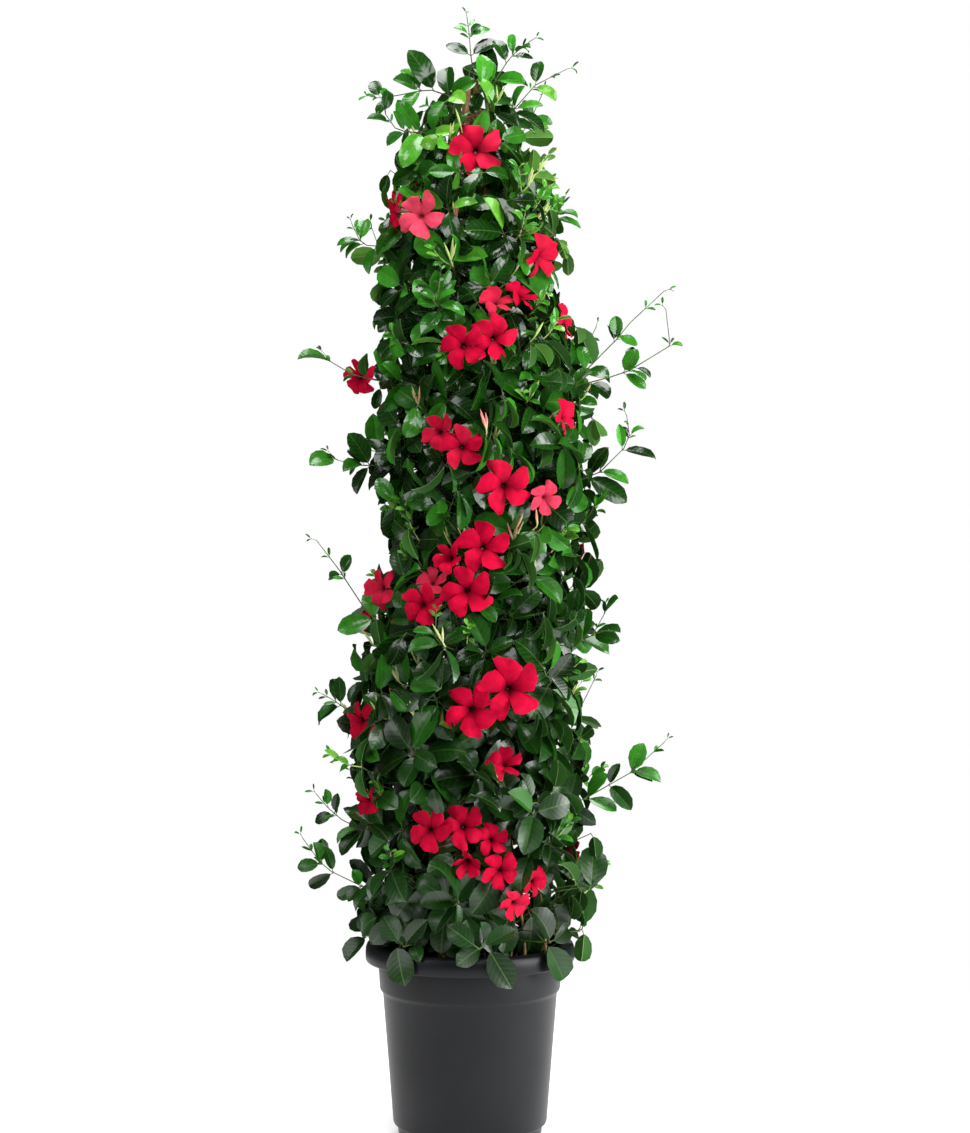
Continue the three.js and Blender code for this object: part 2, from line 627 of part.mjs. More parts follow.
function makeBloom(flower, number) {
  const { centre, facing, width, closed } = flower;
  const right = cross(zUp, facing).normalize();
  const up = cross(facing, right);
  const place = (degrees, share, height) => {
    const turn = radians(degrees + flower.spin);
    const spread = share * width * Math.cos(radians(closed));
    const lift = (height + (share - bloom.hinge) * Math.sin(radians(closed))) * width;
    return sum(centre, times(right, spread * Math.cos(turn)), times(up, spread * Math.sin(turn)), times(facing, lift));
  };
  const throat = place(0, 0, -bloom.throat);
  const step = 360 / bloom.petals;
  const petals = Array.from({ length: bloom.petals }, (_, k) => {
    const edge = petalOutline.map(([degrees, share, height], j) => {
      const wave = j === 0 ? 0 : bloom.ruffle * (chance(number, k, j, 2, 2) - 0.5);
      return place(k * step + degrees, share, height + wave);
    });
    const top = place(k * step + petalMiddle[0], petalMiddle[1], petalMiddle[2]);
    return { edge, top, under: sum(top, times(facing, -bloom.thickness)) };
  });
  const tubeEnd = sum(centre, times(facing, -bloom.tube * width));
  const tubeRing = petals.map((_, k) => {
    const turn = radians(k * step - step / 2 + flower.spin);
    return sum(tubeEnd, times(right, bloom.tubeRadius * Math.cos(turn)), times(up, bloom.tubeRadius * Math.sin(turn)));
  });
  const faces = petals.flatMap(({ edge, top, under }, k) => {
    const next = (k + 1) % bloom.petals;
    const outline = [...edge, petals[next].edge[0]];
    const fan = outline.slice(1).flatMap((corner, j) => [[top, outline[j], corner], [under, corner, outline[j]]]);
    return [
      ...fan,
      [throat, edge[0], top],
      [throat, top, outline.at(-1)],
      [under, edge[0], tubeRing[k]],
      [under, tubeRing[k], tubeRing[next]],
      [under, tubeRing[next], outline.at(-1)],
    ];
  });
  for (let k = 1; k < bloom.petals - 1; k += 1) faces.push([tubeRing[0], tubeRing[k + 1], tubeRing[k]]);
  return new Set(faces);
}

// Where each flower of the best side stands: on the crown's surface, or out from it.
function frontFlower(flower) {
  const half = readTable(crownHalf, flower.z);
  const aside = flower.x - readTable(crownLean, flower.z);
  const depth = Math.sqrt(Math.max(half * half - aside * aside, 0));
  const facing = looking(radians(flower.turn), radians(flower.tip));
  const centre = sum(vector(flower.x, -depth, flower.z), times(facing, flower.out));
  return { ...flower, facing, centre };
}

function backFlower(i) {
  const share = i / (backFlowers.count - 1);
  const z = blend(backFlowers.lowest, backFlowers.highest, share);
  const turned = (i * backFlowers.turnShare) % 1;
  const angle = radians(backFlowers.firstAngle + backFlowers.arc * turned);
  const centre = sum(crownMiddle(z), times(outwardAt(angle), readTable(crownHalf, z)));
  const facing = outwardAt(angle + backFlowers.swing * (chance(i, 4, 4, 4, 4) - 0.5));
  facing.z = backFlowers.nod * (chance(i, 5, 5, 5, 5) - 0.5);
  const width = blend(backFlowers.narrowest, backFlowers.widest, chance(i, 6, 6, 6, 6));
  const spin = (360 / bloom.petals) * chance(i, 7, 7, 7, 7);
  return { centre, facing: facing.normalize(), width, spin, closed: 0 };
}

// ---- stalks and buds ----

// A stalk leaves a stem's joint, rises to a joint of its own close behind the bloom, and
// meets the end of the bloom's tube. Every second one carries a pointed bud.
function growStalk(stems, flower, number) {
  const { facing } = flower;
  const end = sum(flower.centre, times(facing, -bloom.tube * flower.width - stalk.gap));
  const source = sum(end, times(facing, -stalk.reach), vector(0, 0, -stalk.reach));
  for (const { skin, at } of nearestJoints(stems, source, stalk.mostAtJoint).slice(0, stalk.tries)) {
    const knee = sum(end, times(facing, -stalk.straight), vector(0, 0, -stalk.sag));
    const way = knee.clone().sub(at.centre).normalize();
    const root = openable(skin, at, way);
    if (!root) continue;
    const low = rodRing(knee, way, steady(way), stalk.radius);
    const high = rodRing(sum(knee, times(way, stalk.jointLength)), way, steady(way), stalk.radius);
    const last = rodRing(end, facing, zUp, stalk.radius);
    const budded = number % 2 === 0;
    const sleeve = budded ? tube(low, high) : [];
    const faces = [...easyTube(root, low), ...sleeve, ...easyTube(budded ? high : low, last), last];
    if (!fits(faces)) continue;
    skin.delete(root);
    faces.forEach((face) => skin.add(face));
    remember(faces);
    at.taken += 1;
    if (budded) growBud(skin, joint(knee, way, sleeve), facing, number);
    return true;
  }
  return false;
}

function growBud(skin, at, facing, number) {
  for (let i = 0; i < bud.tries; i += 1) {
    const aside = cross(facing, zUp).normalize();
    const swing = chance(number, i, 8, 8, 8) * 2 - 1;
    const way = sum(times(facing, bud.ahead), times(aside, swing), vector(0, 0, bud.rise)).normalize();
    const root = openable(skin, at, way);
    if (!root) continue;
    const neck = rodRing(sum(at.centre, times(way, bud.neck)), way, steady(way), bud.neckRadius);
    const belly = rodRing(sum(at.centre, times(way, bud.neck + bud.length * bud.belly)), way, steady(way), bud.radius);
    const tip = sum(at.centre, times(way, bud.neck + bud.length));
    const faces = [...easyTube(root, neck), ...easyTube(neck, belly), ...point(belly, tip)];
    if (!fits(faces)) continue;
    skin.delete(root);
    faces.forEach((face) => skin.add(face));
    remember(faces);
    return;
  }
}

// ---- stray shoots ----

function growShoot(stems, plan, number) {
  const [by, over, end] = [plan.by, plan.over, plan.end].map((place) => vector(...place));
  for (const { skin, at } of nearestJoints(stems, by, shoot.mostAtJoint).slice(0, shoot.tries)) {
    const curve = new THREE.CubicBezierCurve3(at.centre, by, over, end);
    const root = openable(skin, at, curve.getTangent(0));
    if (!root) continue;
    const plain = Array.from({ length: shoot.rings }, (_, i) => ({ place: (i + 1) / shoot.rings }));
    const carrying = plan.leaves.map(([place, length, count]) => ({ place, length, count }));
    const nearLeaf = ({ place }) => carrying.some((stop) => Math.abs(stop.place - place) < shoot.apart);
    const stops = [...plain.filter((stop) => !nearLeaf(stop)), ...carrying].sort((a, b) => a.place - b.place);
    const ringAt = (place, shift) => {
      const along = curve.getTangent(place);
      const centre = sum(curve.getPoint(place), times(along, shift));
      return rodRing(centre, along, steady(along), blend(shoot.radius, shoot.tipRadius, place));
    };
    let last = root;
    const faces = [];
    for (const stop of stops) {
      const low = ringAt(stop.place, stop.length ? -shoot.jointHalf : 0);
      faces.push(...easyTube(last, low));
      last = low;
      if (!stop.length) continue;
      const high = ringAt(stop.place, shoot.jointHalf);
      stop.at = joint(curve.getPoint(stop.place), curve.getTangent(stop.place), tube(low, high));
      faces.push(...stop.at.faces);
      last = high;
    }
    const finish = sum(curve.getPoint(1), times(curve.getTangent(1), shoot.tipLength));
    faces.push(...point(last, finish));
    if (!fits(faces)) continue;
    skin.delete(root);
    faces.forEach((face) => skin.add(face));
    remember(faces);
    at.taken += 1;
    carrying.forEach((stop, j) => growShootLeaves(skin, stop, number, j));
    return true;
  }
  return false;
}

// One leaf or an opposite pair at a joint of a shoot, splayed from it and open to the front.
function growShootLeaves(skin, stop, number, j) {
  const { along, centre } = stop.at;
  for (let k = 0; k < stop.count; k += 1) {
    for (let i = 0; i < shoot.tries; i += 1) {
      const draw = (property) => chance(number, j, k, i, 10 + property);
      const roll = radians(shoot.roll * (draw(1) - 0.5) + 180 * k + (stop.count === 1 ? 180 * draw(6) : 0));
      const flat = cross(along, vector(0, 1, 0)).normalize();
      const lateral = sum(times(flat, Math.cos(roll)), times(cross(along, flat), Math.sin(roll)));
      const splay = radians(shoot.splay + shoot.splaySpread * (draw(2) - 0.5));
      const heading = sum(times(along, Math.cos(splay)), times(lateral, Math.sin(splay))).normalize();
      const front = centre.y < shoot.frontTo ? -shoot.faceOut : shoot.faceOut;
      const facing = vector(draw(3) - 0.5, front, 0.5 + draw(4)).normalize();
      const slimness = blend(leaf.slimmest, leaf.broadest, draw(5));
      const petiole = leaf.petiole * (0.5 + 0.5 * (stop.length / leaf.shortest));
      const way = sum(heading, times(along, shoot.lean)).normalize();
      const curl = radians(within(shoot.curl, draw(7)));
      const blade = layBlade(centre, way, petiole, heading, facing, stop.length, slimness, curl);
      if (growLeaf(skin, stop.at, blade, way)) break;
    }
  }
}

// ---- leafy twigs ----

const twigEnds = [];

// A twig leaves a stem's joint for a place in the crown and ends in four leaves, that lie over
// the crown's surface: one ahead, one to each side and one back above it.
function growTwig(skin, at, keys, target, leafLength) {
  const reach = target.clone().sub(at.centre);
  const way = reach.normalize();
  const root = openable(skin, at, way);
  if (!root) return false;
  const rings = (margin) => [
    rodRing(sum(target, times(way, -twig.jointLength)), way, steady(way), twig.radius + margin),
    rodRing(target, way, steady(way), twig.radius + margin),
  ];
  const [wideLow, wideHigh] = rings(twig.margin);
  if (blocked([...easyTube(root, wideLow), ...tube(wideLow, wideHigh), wideHigh])) return false;
  const [low, high] = rings(0);
  const sleeve = tube(low, high);
  const faces = [...easyTube(root, low), ...sleeve, high];
  if (!fits(faces)) return false;
  skin.delete(root);
  faces.forEach((face) => skin.add(face));
  remember(faces);
  at.taken += 1;
  const end = joint(sum(target, times(way, -twig.jointLength / 2)), way, sleeve);
  twig.leafTurns.forEach((turn, place) => growTwigLeaf(skin, end, keys, place, leafLength));
  twigEnds.push(target);
  return true;
}

function twigBlade(end, keys, place, i, leafLength) {
  const draw = (property) => chance(keys[0], keys[1], place, i, 20 + property);
  const { centre } = end;
  const middle = crownMiddle(centre.z);
  const outward = vector(centre.x - middle.x, centre.y, 0).normalize();
  const around = cross(zUp, outward);
  const lead = twig.lead * (chance(keys[0], keys[1], 9, 9, 20) * 2 - 1);
  const turn = radians(lead + twig.leafTurns[place] + twig.stray * (2 * draw(1) - 1));
  const lift = radians(within(twig.lift, draw(2)));
  const flat = sum(times(zUp, -Math.cos(turn)), times(around, Math.sin(turn)));
  const heading = sum(times(flat, Math.cos(lift)), times(outward, Math.sin(lift)));
  const aside = twig.faceAside * (2 * draw(4) - 1);
  const facing = sum(outward, times(zUp, within(twig.faceUp, draw(3))), times(around, aside));
  const size = leafLength ?? blend(leaf.shortest, leaf.longest, draw(5)) * readTable(leaf.sizeByHeight, centre.z);
  const length = size * (i > twig.leafTries / 2 ? twig.shrunk : 1);
  const slimness = blend(leaf.slimmest, leaf.broadest, draw(6));
  const way = sum(heading, times(end.along, twig.lean)).normalize();
  const petiole = leaf.petiole + leaf.petioleSpread * draw(7);
  const curl = radians(within(twig.curl, draw(8)));
  return { way, blade: layBlade(centre, way, petiole, heading, facing, length, slimness, curl) };
}

function insideCrown(blade) {
  const tip = bladeRing(blade, 1, 0, 0).centre;
  const middle = crownMiddle(tip.z);
  return tip.distanceTo(middle) < readTable(crownHalf, tip.z) + twig.overhang;
}

// Of the ways a leaf may lie, it takes the one with the most room that is free.
function growTwigLeaf(skin, end, keys, place, leafLength) {
  const ways = numbers(twig.leafTries).map((i) => twigBlade(end, keys, place, i, leafLength));
  const roomy = ways.filter(({ blade }) => insideCrown(blade));
  roomy.forEach((one) => { one.room = roomAt(bladeMiddle(one.blade), leafMiddles); });
  roomy.sort((one, other) => other.room - one.room);
  return roomy.some(({ way, blade }) => growLeaf(skin, end, blade, way));
}

function twigTarget(at, number, jointNumber, i) {
  const draw = (property) => chance(number, jointNumber, 7, i, 30 + property);
  const swing = (draw(1) < 0.5 ? -1 : 1) * within(twig.turn, draw(2));
  const z = at.centre.z + within(twig.rise, draw(3));
  const middle = crownMiddle(z);
  const angle = Math.atan2(at.centre.y, at.centre.x - middle.x) + radians(swing);
  const share = within(twig.share, draw(4));
  return sum(middle, times(outwardAt(angle), share * readTable(crownHalf, z)));
}

function crownTwig({ number, skin }, at, jointNumber) {
  const targets = numbers(twig.tries).map((i) => twigTarget(at, number, jointNumber, i));
  const roomiest = targets.map((target) => ({ target, room: roomAt(target, twigEnds) }));
  roomiest.sort((one, other) => other.room - one.room);
  roomiest.some(({ target }) => growTwig(skin, at, [number, jointNumber], target));
}

function hangRimTwigs(stems) {
  for (let i = 0; i < rimTwigs.count; i += 1) {
    const angle = radians(rimTwigs.firstAngle + (360 / rimTwigs.count) * i);
    const z = rimTwigs.height + rimTwigs.spread * (chance(i, 2, 6, 6, 40) - 0.5);
    const target = sum(times(outwardAt(angle), rimTwigs.radius), vector(0, 0, z));
    const over = sum(times(outwardAt(angle), rimTwigs.from), vector(0, 0, z + rimTwigs.fromRise));
    for (const { skin, at } of nearestJoints(stems, over, rimTwigs.mostAtJoint).slice(0, rimTwigs.tries)) {
      if (growTwig(skin, at, [50 + i, 0], target, rimTwigs.leafLength)) break;
    }
  }
}

// ---- the whole plant ----

const plant = new THREE.Group();
const materials = Object.fromEntries(
  Object.entries(paint).map(([name, finish]) => [name, new THREE.MeshStandardMaterial(finish)]));

function addPiece(name, geometry, material) {
  const mesh = new THREE.Mesh(geometry, material);
  mesh.name = name;
  plant.add(mesh);
}

function standCanes() {
  for (const number of numbers(cane.count)) {
    const geometry = weld(makeCane(number));
    addPiece(`cane_${number + 1}`, geometry, materials.cane);
    remember(facesOf(geometry));
  }
  const knot = makeTie();
  addPiece('tie', knot, materials.tie);
  remember(facesOf(knot));
}

function fillPot() {
  const shell = makePot();
  addPiece('pot', shell, materials.pot);
  remember(facesOf(shell));
  const earth = makeSoil([...numbers(cane.count).map(caneHole), ...numbers(stem.count).map(stemHole)]);
  addPiece('soil', earth, materials.soil);
  remember(facesOf(earth));
}

function openFlowers() {
  const all = [...flowers.map(frontFlower), ...numbers(backFlowers.count).map(backFlower)];
  all.forEach((flower, number) => {
    const skin = makeBloom(flower, number);
    addPiece(`bloom_${number + 1}`, toGeometry(skin), materials.petal);
    remember(skin);
    sights.push({ centre: flower.centre, facing: flower.facing, radius: (flower.width / 2) * bloom.sightShare });
  });
  return all;
}

fillPot();
standCanes();
const opened = openFlowers();
const stems = numbers(stem.count).map(growStem);
opened.forEach((flower, number) => growStalk(stems, flower, number));
shoots.forEach((plan, number) => growShoot(stems, plan, number));
hangRimTwigs(stems);
const mostJoints = Math.max(...stems.map(({ joints }) => joints.length));
for (const jointNumber of numbers(mostJoints)) {
  for (const one of stems) if (one.joints[jointNumber]) crownTwig(one, one.joints[jointNumber], jointNumber);
}
for (const { number, skin } of stems) addPiece(`vine_${number + 1}`, toGeometry(skin), materials.foliage);

export default plant;
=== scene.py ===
import math
import random
from functools import partial

import bmesh
import bpy
import numpy as np
from mathutils import Matrix, Vector, noise
from mathutils.bvhtree import BVHTree


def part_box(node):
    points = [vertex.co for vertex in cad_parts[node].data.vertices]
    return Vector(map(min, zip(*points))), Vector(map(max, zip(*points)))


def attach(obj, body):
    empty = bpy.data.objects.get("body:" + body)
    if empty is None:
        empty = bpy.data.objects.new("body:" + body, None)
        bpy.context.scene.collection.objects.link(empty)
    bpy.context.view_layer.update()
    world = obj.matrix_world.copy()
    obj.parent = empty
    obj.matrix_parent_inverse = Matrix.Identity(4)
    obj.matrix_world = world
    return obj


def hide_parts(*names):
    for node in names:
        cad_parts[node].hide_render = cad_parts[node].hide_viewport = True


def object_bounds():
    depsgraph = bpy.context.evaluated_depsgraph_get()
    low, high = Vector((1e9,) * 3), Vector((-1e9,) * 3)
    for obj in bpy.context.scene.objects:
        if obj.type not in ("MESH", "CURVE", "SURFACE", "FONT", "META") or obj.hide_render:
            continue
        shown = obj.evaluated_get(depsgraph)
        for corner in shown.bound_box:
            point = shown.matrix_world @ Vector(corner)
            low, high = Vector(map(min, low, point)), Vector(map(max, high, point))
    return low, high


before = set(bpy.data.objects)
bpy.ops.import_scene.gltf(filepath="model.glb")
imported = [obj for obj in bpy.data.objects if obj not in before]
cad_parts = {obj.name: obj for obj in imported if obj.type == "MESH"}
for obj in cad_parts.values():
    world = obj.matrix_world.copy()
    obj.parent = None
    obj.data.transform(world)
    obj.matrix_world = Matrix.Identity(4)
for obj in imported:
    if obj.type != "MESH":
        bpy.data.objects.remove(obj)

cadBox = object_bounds()
mm = 0.001
zUp = Vector((0, 0, 1))
weldGap = 0.005 * mm
dice = random.Random(46)


def between(span):
    # a seeded random number between the span's two values
    return dice.uniform(*span)


def deselect():
    if bpy.context.object and bpy.context.object.mode != "OBJECT":
        bpy.ops.object.mode_set(mode="OBJECT")
    bpy.ops.object.select_all(action="DESELECT")


def pick(obj):
    deselect()
    obj.select_set(True)
    bpy.context.view_layer.objects.active = obj


def applyModifiers(obj):
    pick(obj)
    for modifier in list(obj.modifiers):
        bpy.ops.object.modifier_apply(modifier=modifier.name)


def addModifier(obj, kind, **settings):
    modifier = obj.modifiers.new(kind.title(), kind)
    for setting, value in settings.items():
        setattr(modifier, setting, value)


def settle(obj):
    # merges doubles, turns every face outwards and leaves the object at the origin
    pick(obj)
    bpy.ops.object.transform_apply(location=True, rotation=True, scale=True)
    bpy.ops.object.mode_set(mode="EDIT")
    bpy.ops.mesh.select_all(action="SELECT")
    bpy.ops.mesh.remove_doubles(threshold=weldGap)
    bpy.ops.mesh.normals_make_consistent(inside=False)
    bpy.ops.object.mode_set(mode="OBJECT")


def smooth(obj, degrees=40):
    pick(obj)
    bpy.ops.object.shade_smooth_by_angle(angle=math.radians(degrees))


def finishPiece(obj, materials, slot, *nodes):
    for material in materials:
        obj.data.materials.append(material)
    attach(obj, "root")
    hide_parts(*nodes)


def nodesNamed(start):
    # the frame's nodes of one kind, in the order of their numbers
    found = [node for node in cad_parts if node.startswith(start)]
    return sorted(found, key=lambda node: (len(node), node))


def aimed(angle):
    return Vector((math.cos(angle), math.sin(angle), 0))


def growTower(name, rings, sides):
    # a closed round body: a disc drawn up ring by ring, each ring being x, y, z and radius in metres
    deselect()
    x, y, z, radius = rings[0]
    bpy.ops.mesh.primitive_circle_add(
        vertices=sides, radius=radius, fill_type="NGON", location=(0, 0, 0), enter_editmode=True)
    tower = bpy.context.object
    tower.name = name
    bpy.ops.transform.translate(value=(x, y, z))
    for nextX, nextY, nextZ, nextRadius in rings[1:]:
        step = (nextX - x, nextY - y, nextZ - z)
        bpy.ops.mesh.extrude_region_move(TRANSFORM_OT_translate={"value": step})
        share = nextRadius / radius
        bpy.ops.transform.resize(value=(share, share, 1), center_override=(nextX, nextY, nextZ))
        x, y, z, radius = nextX, nextY, nextZ, nextRadius
    bpy.ops.object.mode_set(mode="OBJECT")
    settle(tower)
    return tower


def upright(profile, scale=1):
    # a tower's rings round the Z axis, from radii and heights
    return [(0, 0, height * scale, radius * scale) for radius, height in profile]


def bentRod(start, halfWay, end, radius, taper):
    return [(start, radius), (halfWay, radius * taper[0]), (end, radius * taper[1])]


def drawRods(name, rods, roundness, steps):
    # rods are lists of points with a radius each, drawn as one curve and made a mesh
    curve = bpy.data.curves.new(name, "CURVE")
    curve.dimensions = "3D"
    curve.bevel_depth = 1
    curve.bevel_resolution = roundness
    curve.resolution_u = steps
    curve.use_fill_caps = True
    for rod in rods:
        spline = curve.splines.new("BEZIER")
        spline.bezier_points.add(len(rod) - 1)
        for place, (point, radius) in zip(spline.bezier_points, rod):
            place.co = point
            place.radius = radius
            place.handle_left_type = place.handle_right_type = "AUTO"
    drawn = bpy.data.objects.new(name, curve)
    bpy.context.collection.objects.link(drawn)
    pick(drawn)
    bpy.ops.object.convert(target="MESH")
    settle(drawn)
    smooth(drawn, 60)
    return drawn


def linear(hexColour):
    # an sRGB hex value as the linear colour that Blender works in
    parts = [(hexColour >> shift & 255) / 255 for shift in (16, 8, 0)]
    return (*[part / 12.92 if part <= 0.04045 else ((part + 0.055) / 1.055) ** 2.4 for part in parts], 1)


def newMaterial(name, **sockets):
    material = bpy.data.materials.new(name)
    material.use_nodes = True
    shader = material.node_tree.nodes["Principled BSDF"]
    for socket, value in sockets.items():
        shader.inputs[socket.replace("_", " ")].default_value = value
    return material


def addNode(owner, kind, inputs=(), stops=(), into=None, **settings):
    # inputs are values or other nodes' outputs, by the number or name of the socket; a node that goes
    # into its owner's shader gives it its first output that is in use
    nodes, links = owner.node_tree.nodes, owner.node_tree.links
    node = nodes.new("ShaderNode" + kind)
    for setting, value in settings.items():
        setattr(node, setting, value)
    for socket, value in inputs.items() if isinstance(inputs, dict) else enumerate(inputs):
        if isinstance(value, bpy.types.NodeSocket):
            links.new(value, node.inputs[socket])
        else:
            node.inputs[socket].default_value = value
    for number, (place, colour) in enumerate(stops):
        ramp = node.color_ramp.elements
        stop = ramp[number] if number < 2 else ramp.new(place)
        stop.position = place
        stop.color = linear(colour)
    if into:
        shown = next(output for output in node.outputs if output.enabled)
        shader = nodes.get("Principled BSDF") or nodes["Background"]
        links.new(shown, shader.inputs[into])
    return node.outputs


leafFinish = {
    # a leaf's tone picks its colour: from near-black green, the painted shade of leaves deep inside the
    # crown, to the yellow-green of young leaves and of those high up
    "top": [(0, 0x051703), (1, 0x70b034), (0.4, 0x133f09), (0.75, 0x388b20)], "vein": 0x7fae55,
    "under": [(0, 0x1b3a15), (1, 0x639a38), (0.5, 0x305c20)], "underVein": 0xa8c286,
    # how many pairs of side veins, how far they lean towards the tip, and where each vein fades out
    "pairs": 7, "lean": 0.48, "sideFades": (0.02, 0.12), "ribFades": (0.008, 0.03),
    "relief": {"Strength": 0.5, "Distance": 0.13 * mm},
    # how strongly side veins and rib are drawn, the rib again on the underside, and how each leaf is
    # mottled: a map of the noise from its first two values to the last two
    "sideVein": 0.06, "rib": 0.2, "underRib": 0.45, "blotch": 12 * mm, "mottling": (0.3, 0.7, 0.78, 1.2),
    # by height: the oldest leaves, low down, have lost some of their shine
    "heights": (0.25, 1.1), "roughness": (0.36, 0.17),
}


def veinLines(material):
    # side veins and rib of a leaf from its UV map, and how far from a side vein each place lies
    finish = leafFinish
    add = partial(addNode, material)
    uv = add("TexCoord")["UV"]
    parts = add("SeparateXYZ", [uv])
    centred = add("Math", [parts["Y"], 0.5], operation="SUBTRACT")[0]
    across = add("Math", [centred], operation="ABSOLUTE")[0]
    lean = add("Math", [across, finish["lean"]], operation="MULTIPLY")[0]
    along = add("Math", [parts["X"], lean], operation="SUBTRACT")[0]
    phase = add("Math", [along, finish["pairs"]], operation="MULTIPLY")[0]
    swing = add("Math", [phase, 0.5], operation="PINGPONG")[0]
    side = add("MapRange", [swing, *finish["sideFades"], 1, 0])[0]
    rib = add("MapRange", [across, *finish["ribFades"], 1, 0])[0]
    return side, rib, swing


def makeLeafTop():
    # living leaf with a waxy cuticle: deep green, wet-looking streaks between sunken side veins
    finish = leafFinish
    material = newMaterial("leafWaxyCuticle", Roughness=0.19, IOR=1.46, Specular_IOR_Level=0.54)
    add = partial(addNode, material)
    tone = add("Attribute", attribute_name="tone")["Fac"]
    colour = add("ValToRGB", [tone], finish["top"])[0]
    place = add("TexCoord")["Object"]
    blotch = add("TexNoise", {"Vector": place, "Scale": 1 / finish["blotch"], "Detail": 3})[0]
    shade = add("MapRange", [blotch, *finish["mottling"]])[0]
    mottled = add("VectorMath", [colour, shade], operation="MULTIPLY")[0]
    side, rib, swing = veinLines(material)
    faint = add("Math", [side, finish["sideVein"]], operation="MULTIPLY")[0]
    strong = add("Math", [rib, finish["rib"]], operation="MULTIPLY")[0]
    lines = add("Math", [faint, strong], operation="MAXIMUM")[0]
    vein = linear(finish["vein"])
    add("Mix", {0: lines, 6: mottled, 7: vein}, into="Base Color", data_type="RGBA")
    height = add("SeparateXYZ", [place])["Z"]
    add("MapRange", [height, *finish["heights"], *finish["roughness"]], into="Roughness")
    # the swing ends at a half, so this is 1 midway between two side veins
    pillow = add("Math", [swing, 2], operation="MULTIPLY")[0]
    sunk = add("Math", [pillow, rib], operation="SUBTRACT")[0]
    add("Bump", {"Height": sunk, **finish["relief"]}, into="Normal")
    return material


def makeLeafUnder():
    # underside of the same leaf: no wax, so paler, matt, with the rib standing proud
    finish = leafFinish
    material = newMaterial("leafMattUnderside", Roughness=0.55, IOR=1.4, Specular_IOR_Level=0.2)
    add = partial(addNode, material)
    tone = add("Attribute", attribute_name="tone")["Fac"]
    colour = add("ValToRGB", [tone], finish["under"])[0]
    side, rib, swing = veinLines(material)
    strong = add("Math", [rib, finish["underRib"]], operation="MULTIPLY")[0]
    vein = linear(finish["underVein"])
    add("Mix", {0: strong, 6: colour, 7: vein}, into="Base Color", data_type="RGBA")
    proud = add("Math", [rib, side], operation="ADD")[0]
    add("Bump", {"Height": proud, **finish["relief"]}, into="Normal")
    return material


petalFinish = {
    # from the throat's bottom out to the petals' edge
    "face": [
        (0, 0x8a4c20), (1, 0xca0836), (0.1, 0x480812), (0.25, 0x76061c), (0.33, 0x980226), (0.5, 0xbe0430)],
    "faded": 0xe25068, "back": [(0, 0xd9a08c), (1, 0xdf2f52), (0.25, 0xcf4a5c)],
    "veins": 70, "relief": {"Strength": 0.25, "Distance": 0.15 * mm},
    # maps from the first two values to the last two: of the clouds, and of the flower's tone as it
    # fades, or darkens as painted shade where the tone is below zero
    "clouds": 9 * mm, "cloudy": (0.3, 0.7, 0.82, 1.12), "fades": (0, 1, 0, 0.9), "shadeDarkens": (-0.4, 0, 0.6, 1),
}


def makePetalTop():
    # fresh petal with a velvety surface: soft crimson, darker towards the throat, faint long veins
    finish = petalFinish
    material = newMaterial("petalVelvet", Roughness=0.62, IOR=1.38, Specular_IOR_Level=0.06)
    add = partial(addNode, material)
    uv = add("TexCoord")["UV"]
    parts = add("SeparateXYZ", [uv])
    radial = add("ValToRGB", [parts["X"]], finish["face"])[0]
    place = add("TexCoord")["Object"]
    clouds = add("TexNoise", {"Vector": place, "Scale": 1 / finish["clouds"], "Detail": 2})[0]
    cloudy = add("MapRange", [clouds, *finish["cloudy"]])[0]
    tone = add("Attribute", attribute_name="tone")["Fac"]
    lift = add("MapRange", [tone, *finish["fades"]])[0]
    # painted shade: a tone below zero darkens the petal's colour
    paintedShade = add("MapRange", [tone, *finish["shadeDarkens"]])[0]
    depth = add("Math", [cloudy, paintedShade], operation="MULTIPLY")[0]
    aged = add("Mix", {0: lift, 6: radial, 7: linear(finish["faded"])}, data_type="RGBA")[2]
    add("VectorMath", [aged, depth], into="Base Color", operation="MULTIPLY")
    waves = add("Math", [parts["Y"], finish["veins"]], operation="MULTIPLY")[0]
    veins = add("Math", [waves], operation="SINE")[0]
    add("Bump", {"Height": veins, **finish["relief"]}, into="Normal")
    return material


def makePetalUnder():
    # back of the petal and the outside of the tube: paler and pinker than the face
    material = newMaterial("petalBack", Roughness=0.65, IOR=1.38, Specular_IOR_Level=0.25)
    add = partial(addNode, material)
    uv = add("TexCoord")["UV"]
    along = add("SeparateXYZ", [uv])["X"]
    add("ValToRGB", [along], petalFinish["back"], into="Base Color")
    return material


barkFinish = {
    # cracks 1.2 mm wide and 15 mm long, and the heights where it is all cork and where all green
    "crack": (0.0012, 0.0012, 0.015), "relief": {"Strength": 0.4, "Distance": 0.3 * mm},
    "cork": [(0.3, 0x5e4630), (0.7, 0xb2905f)], "green": [(0.3, 0x3d5a28), (0.7, 0x6f8a45)],
    "heights": (0.5, 1.3),
}


def makeBark():
    # young woody stem: beige-brown cork below that turns green towards the top, with fine long cracks
    finish = barkFinish
    material = newMaterial("stemBark", Roughness=0.7, IOR=1.45)
    add = partial(addNode, material)
    place = add("TexCoord")["Object"]
    scales = [1 / size for size in finish["crack"]]
    stretched = add("Mapping", {"Vector": place, "Scale": scales})[0]
    cracks = add("TexNoise", {"Vector": stretched, "Scale": 1, "Detail": 3})[0]
    height = add("SeparateXYZ", [place])["Z"]
    age = add("MapRange", [height, *finish["heights"], 0, 1])[0]
    cork = add("ValToRGB", [cracks], finish["cork"])[0]
    green = add("ValToRGB", [cracks], finish["green"])[0]
    add("Mix", {0: age, 6: cork, 7: green}, into="Base Color", data_type="RGBA")
    add("Bump", {"Height": cracks, **finish["relief"]}, into="Normal")
    return material


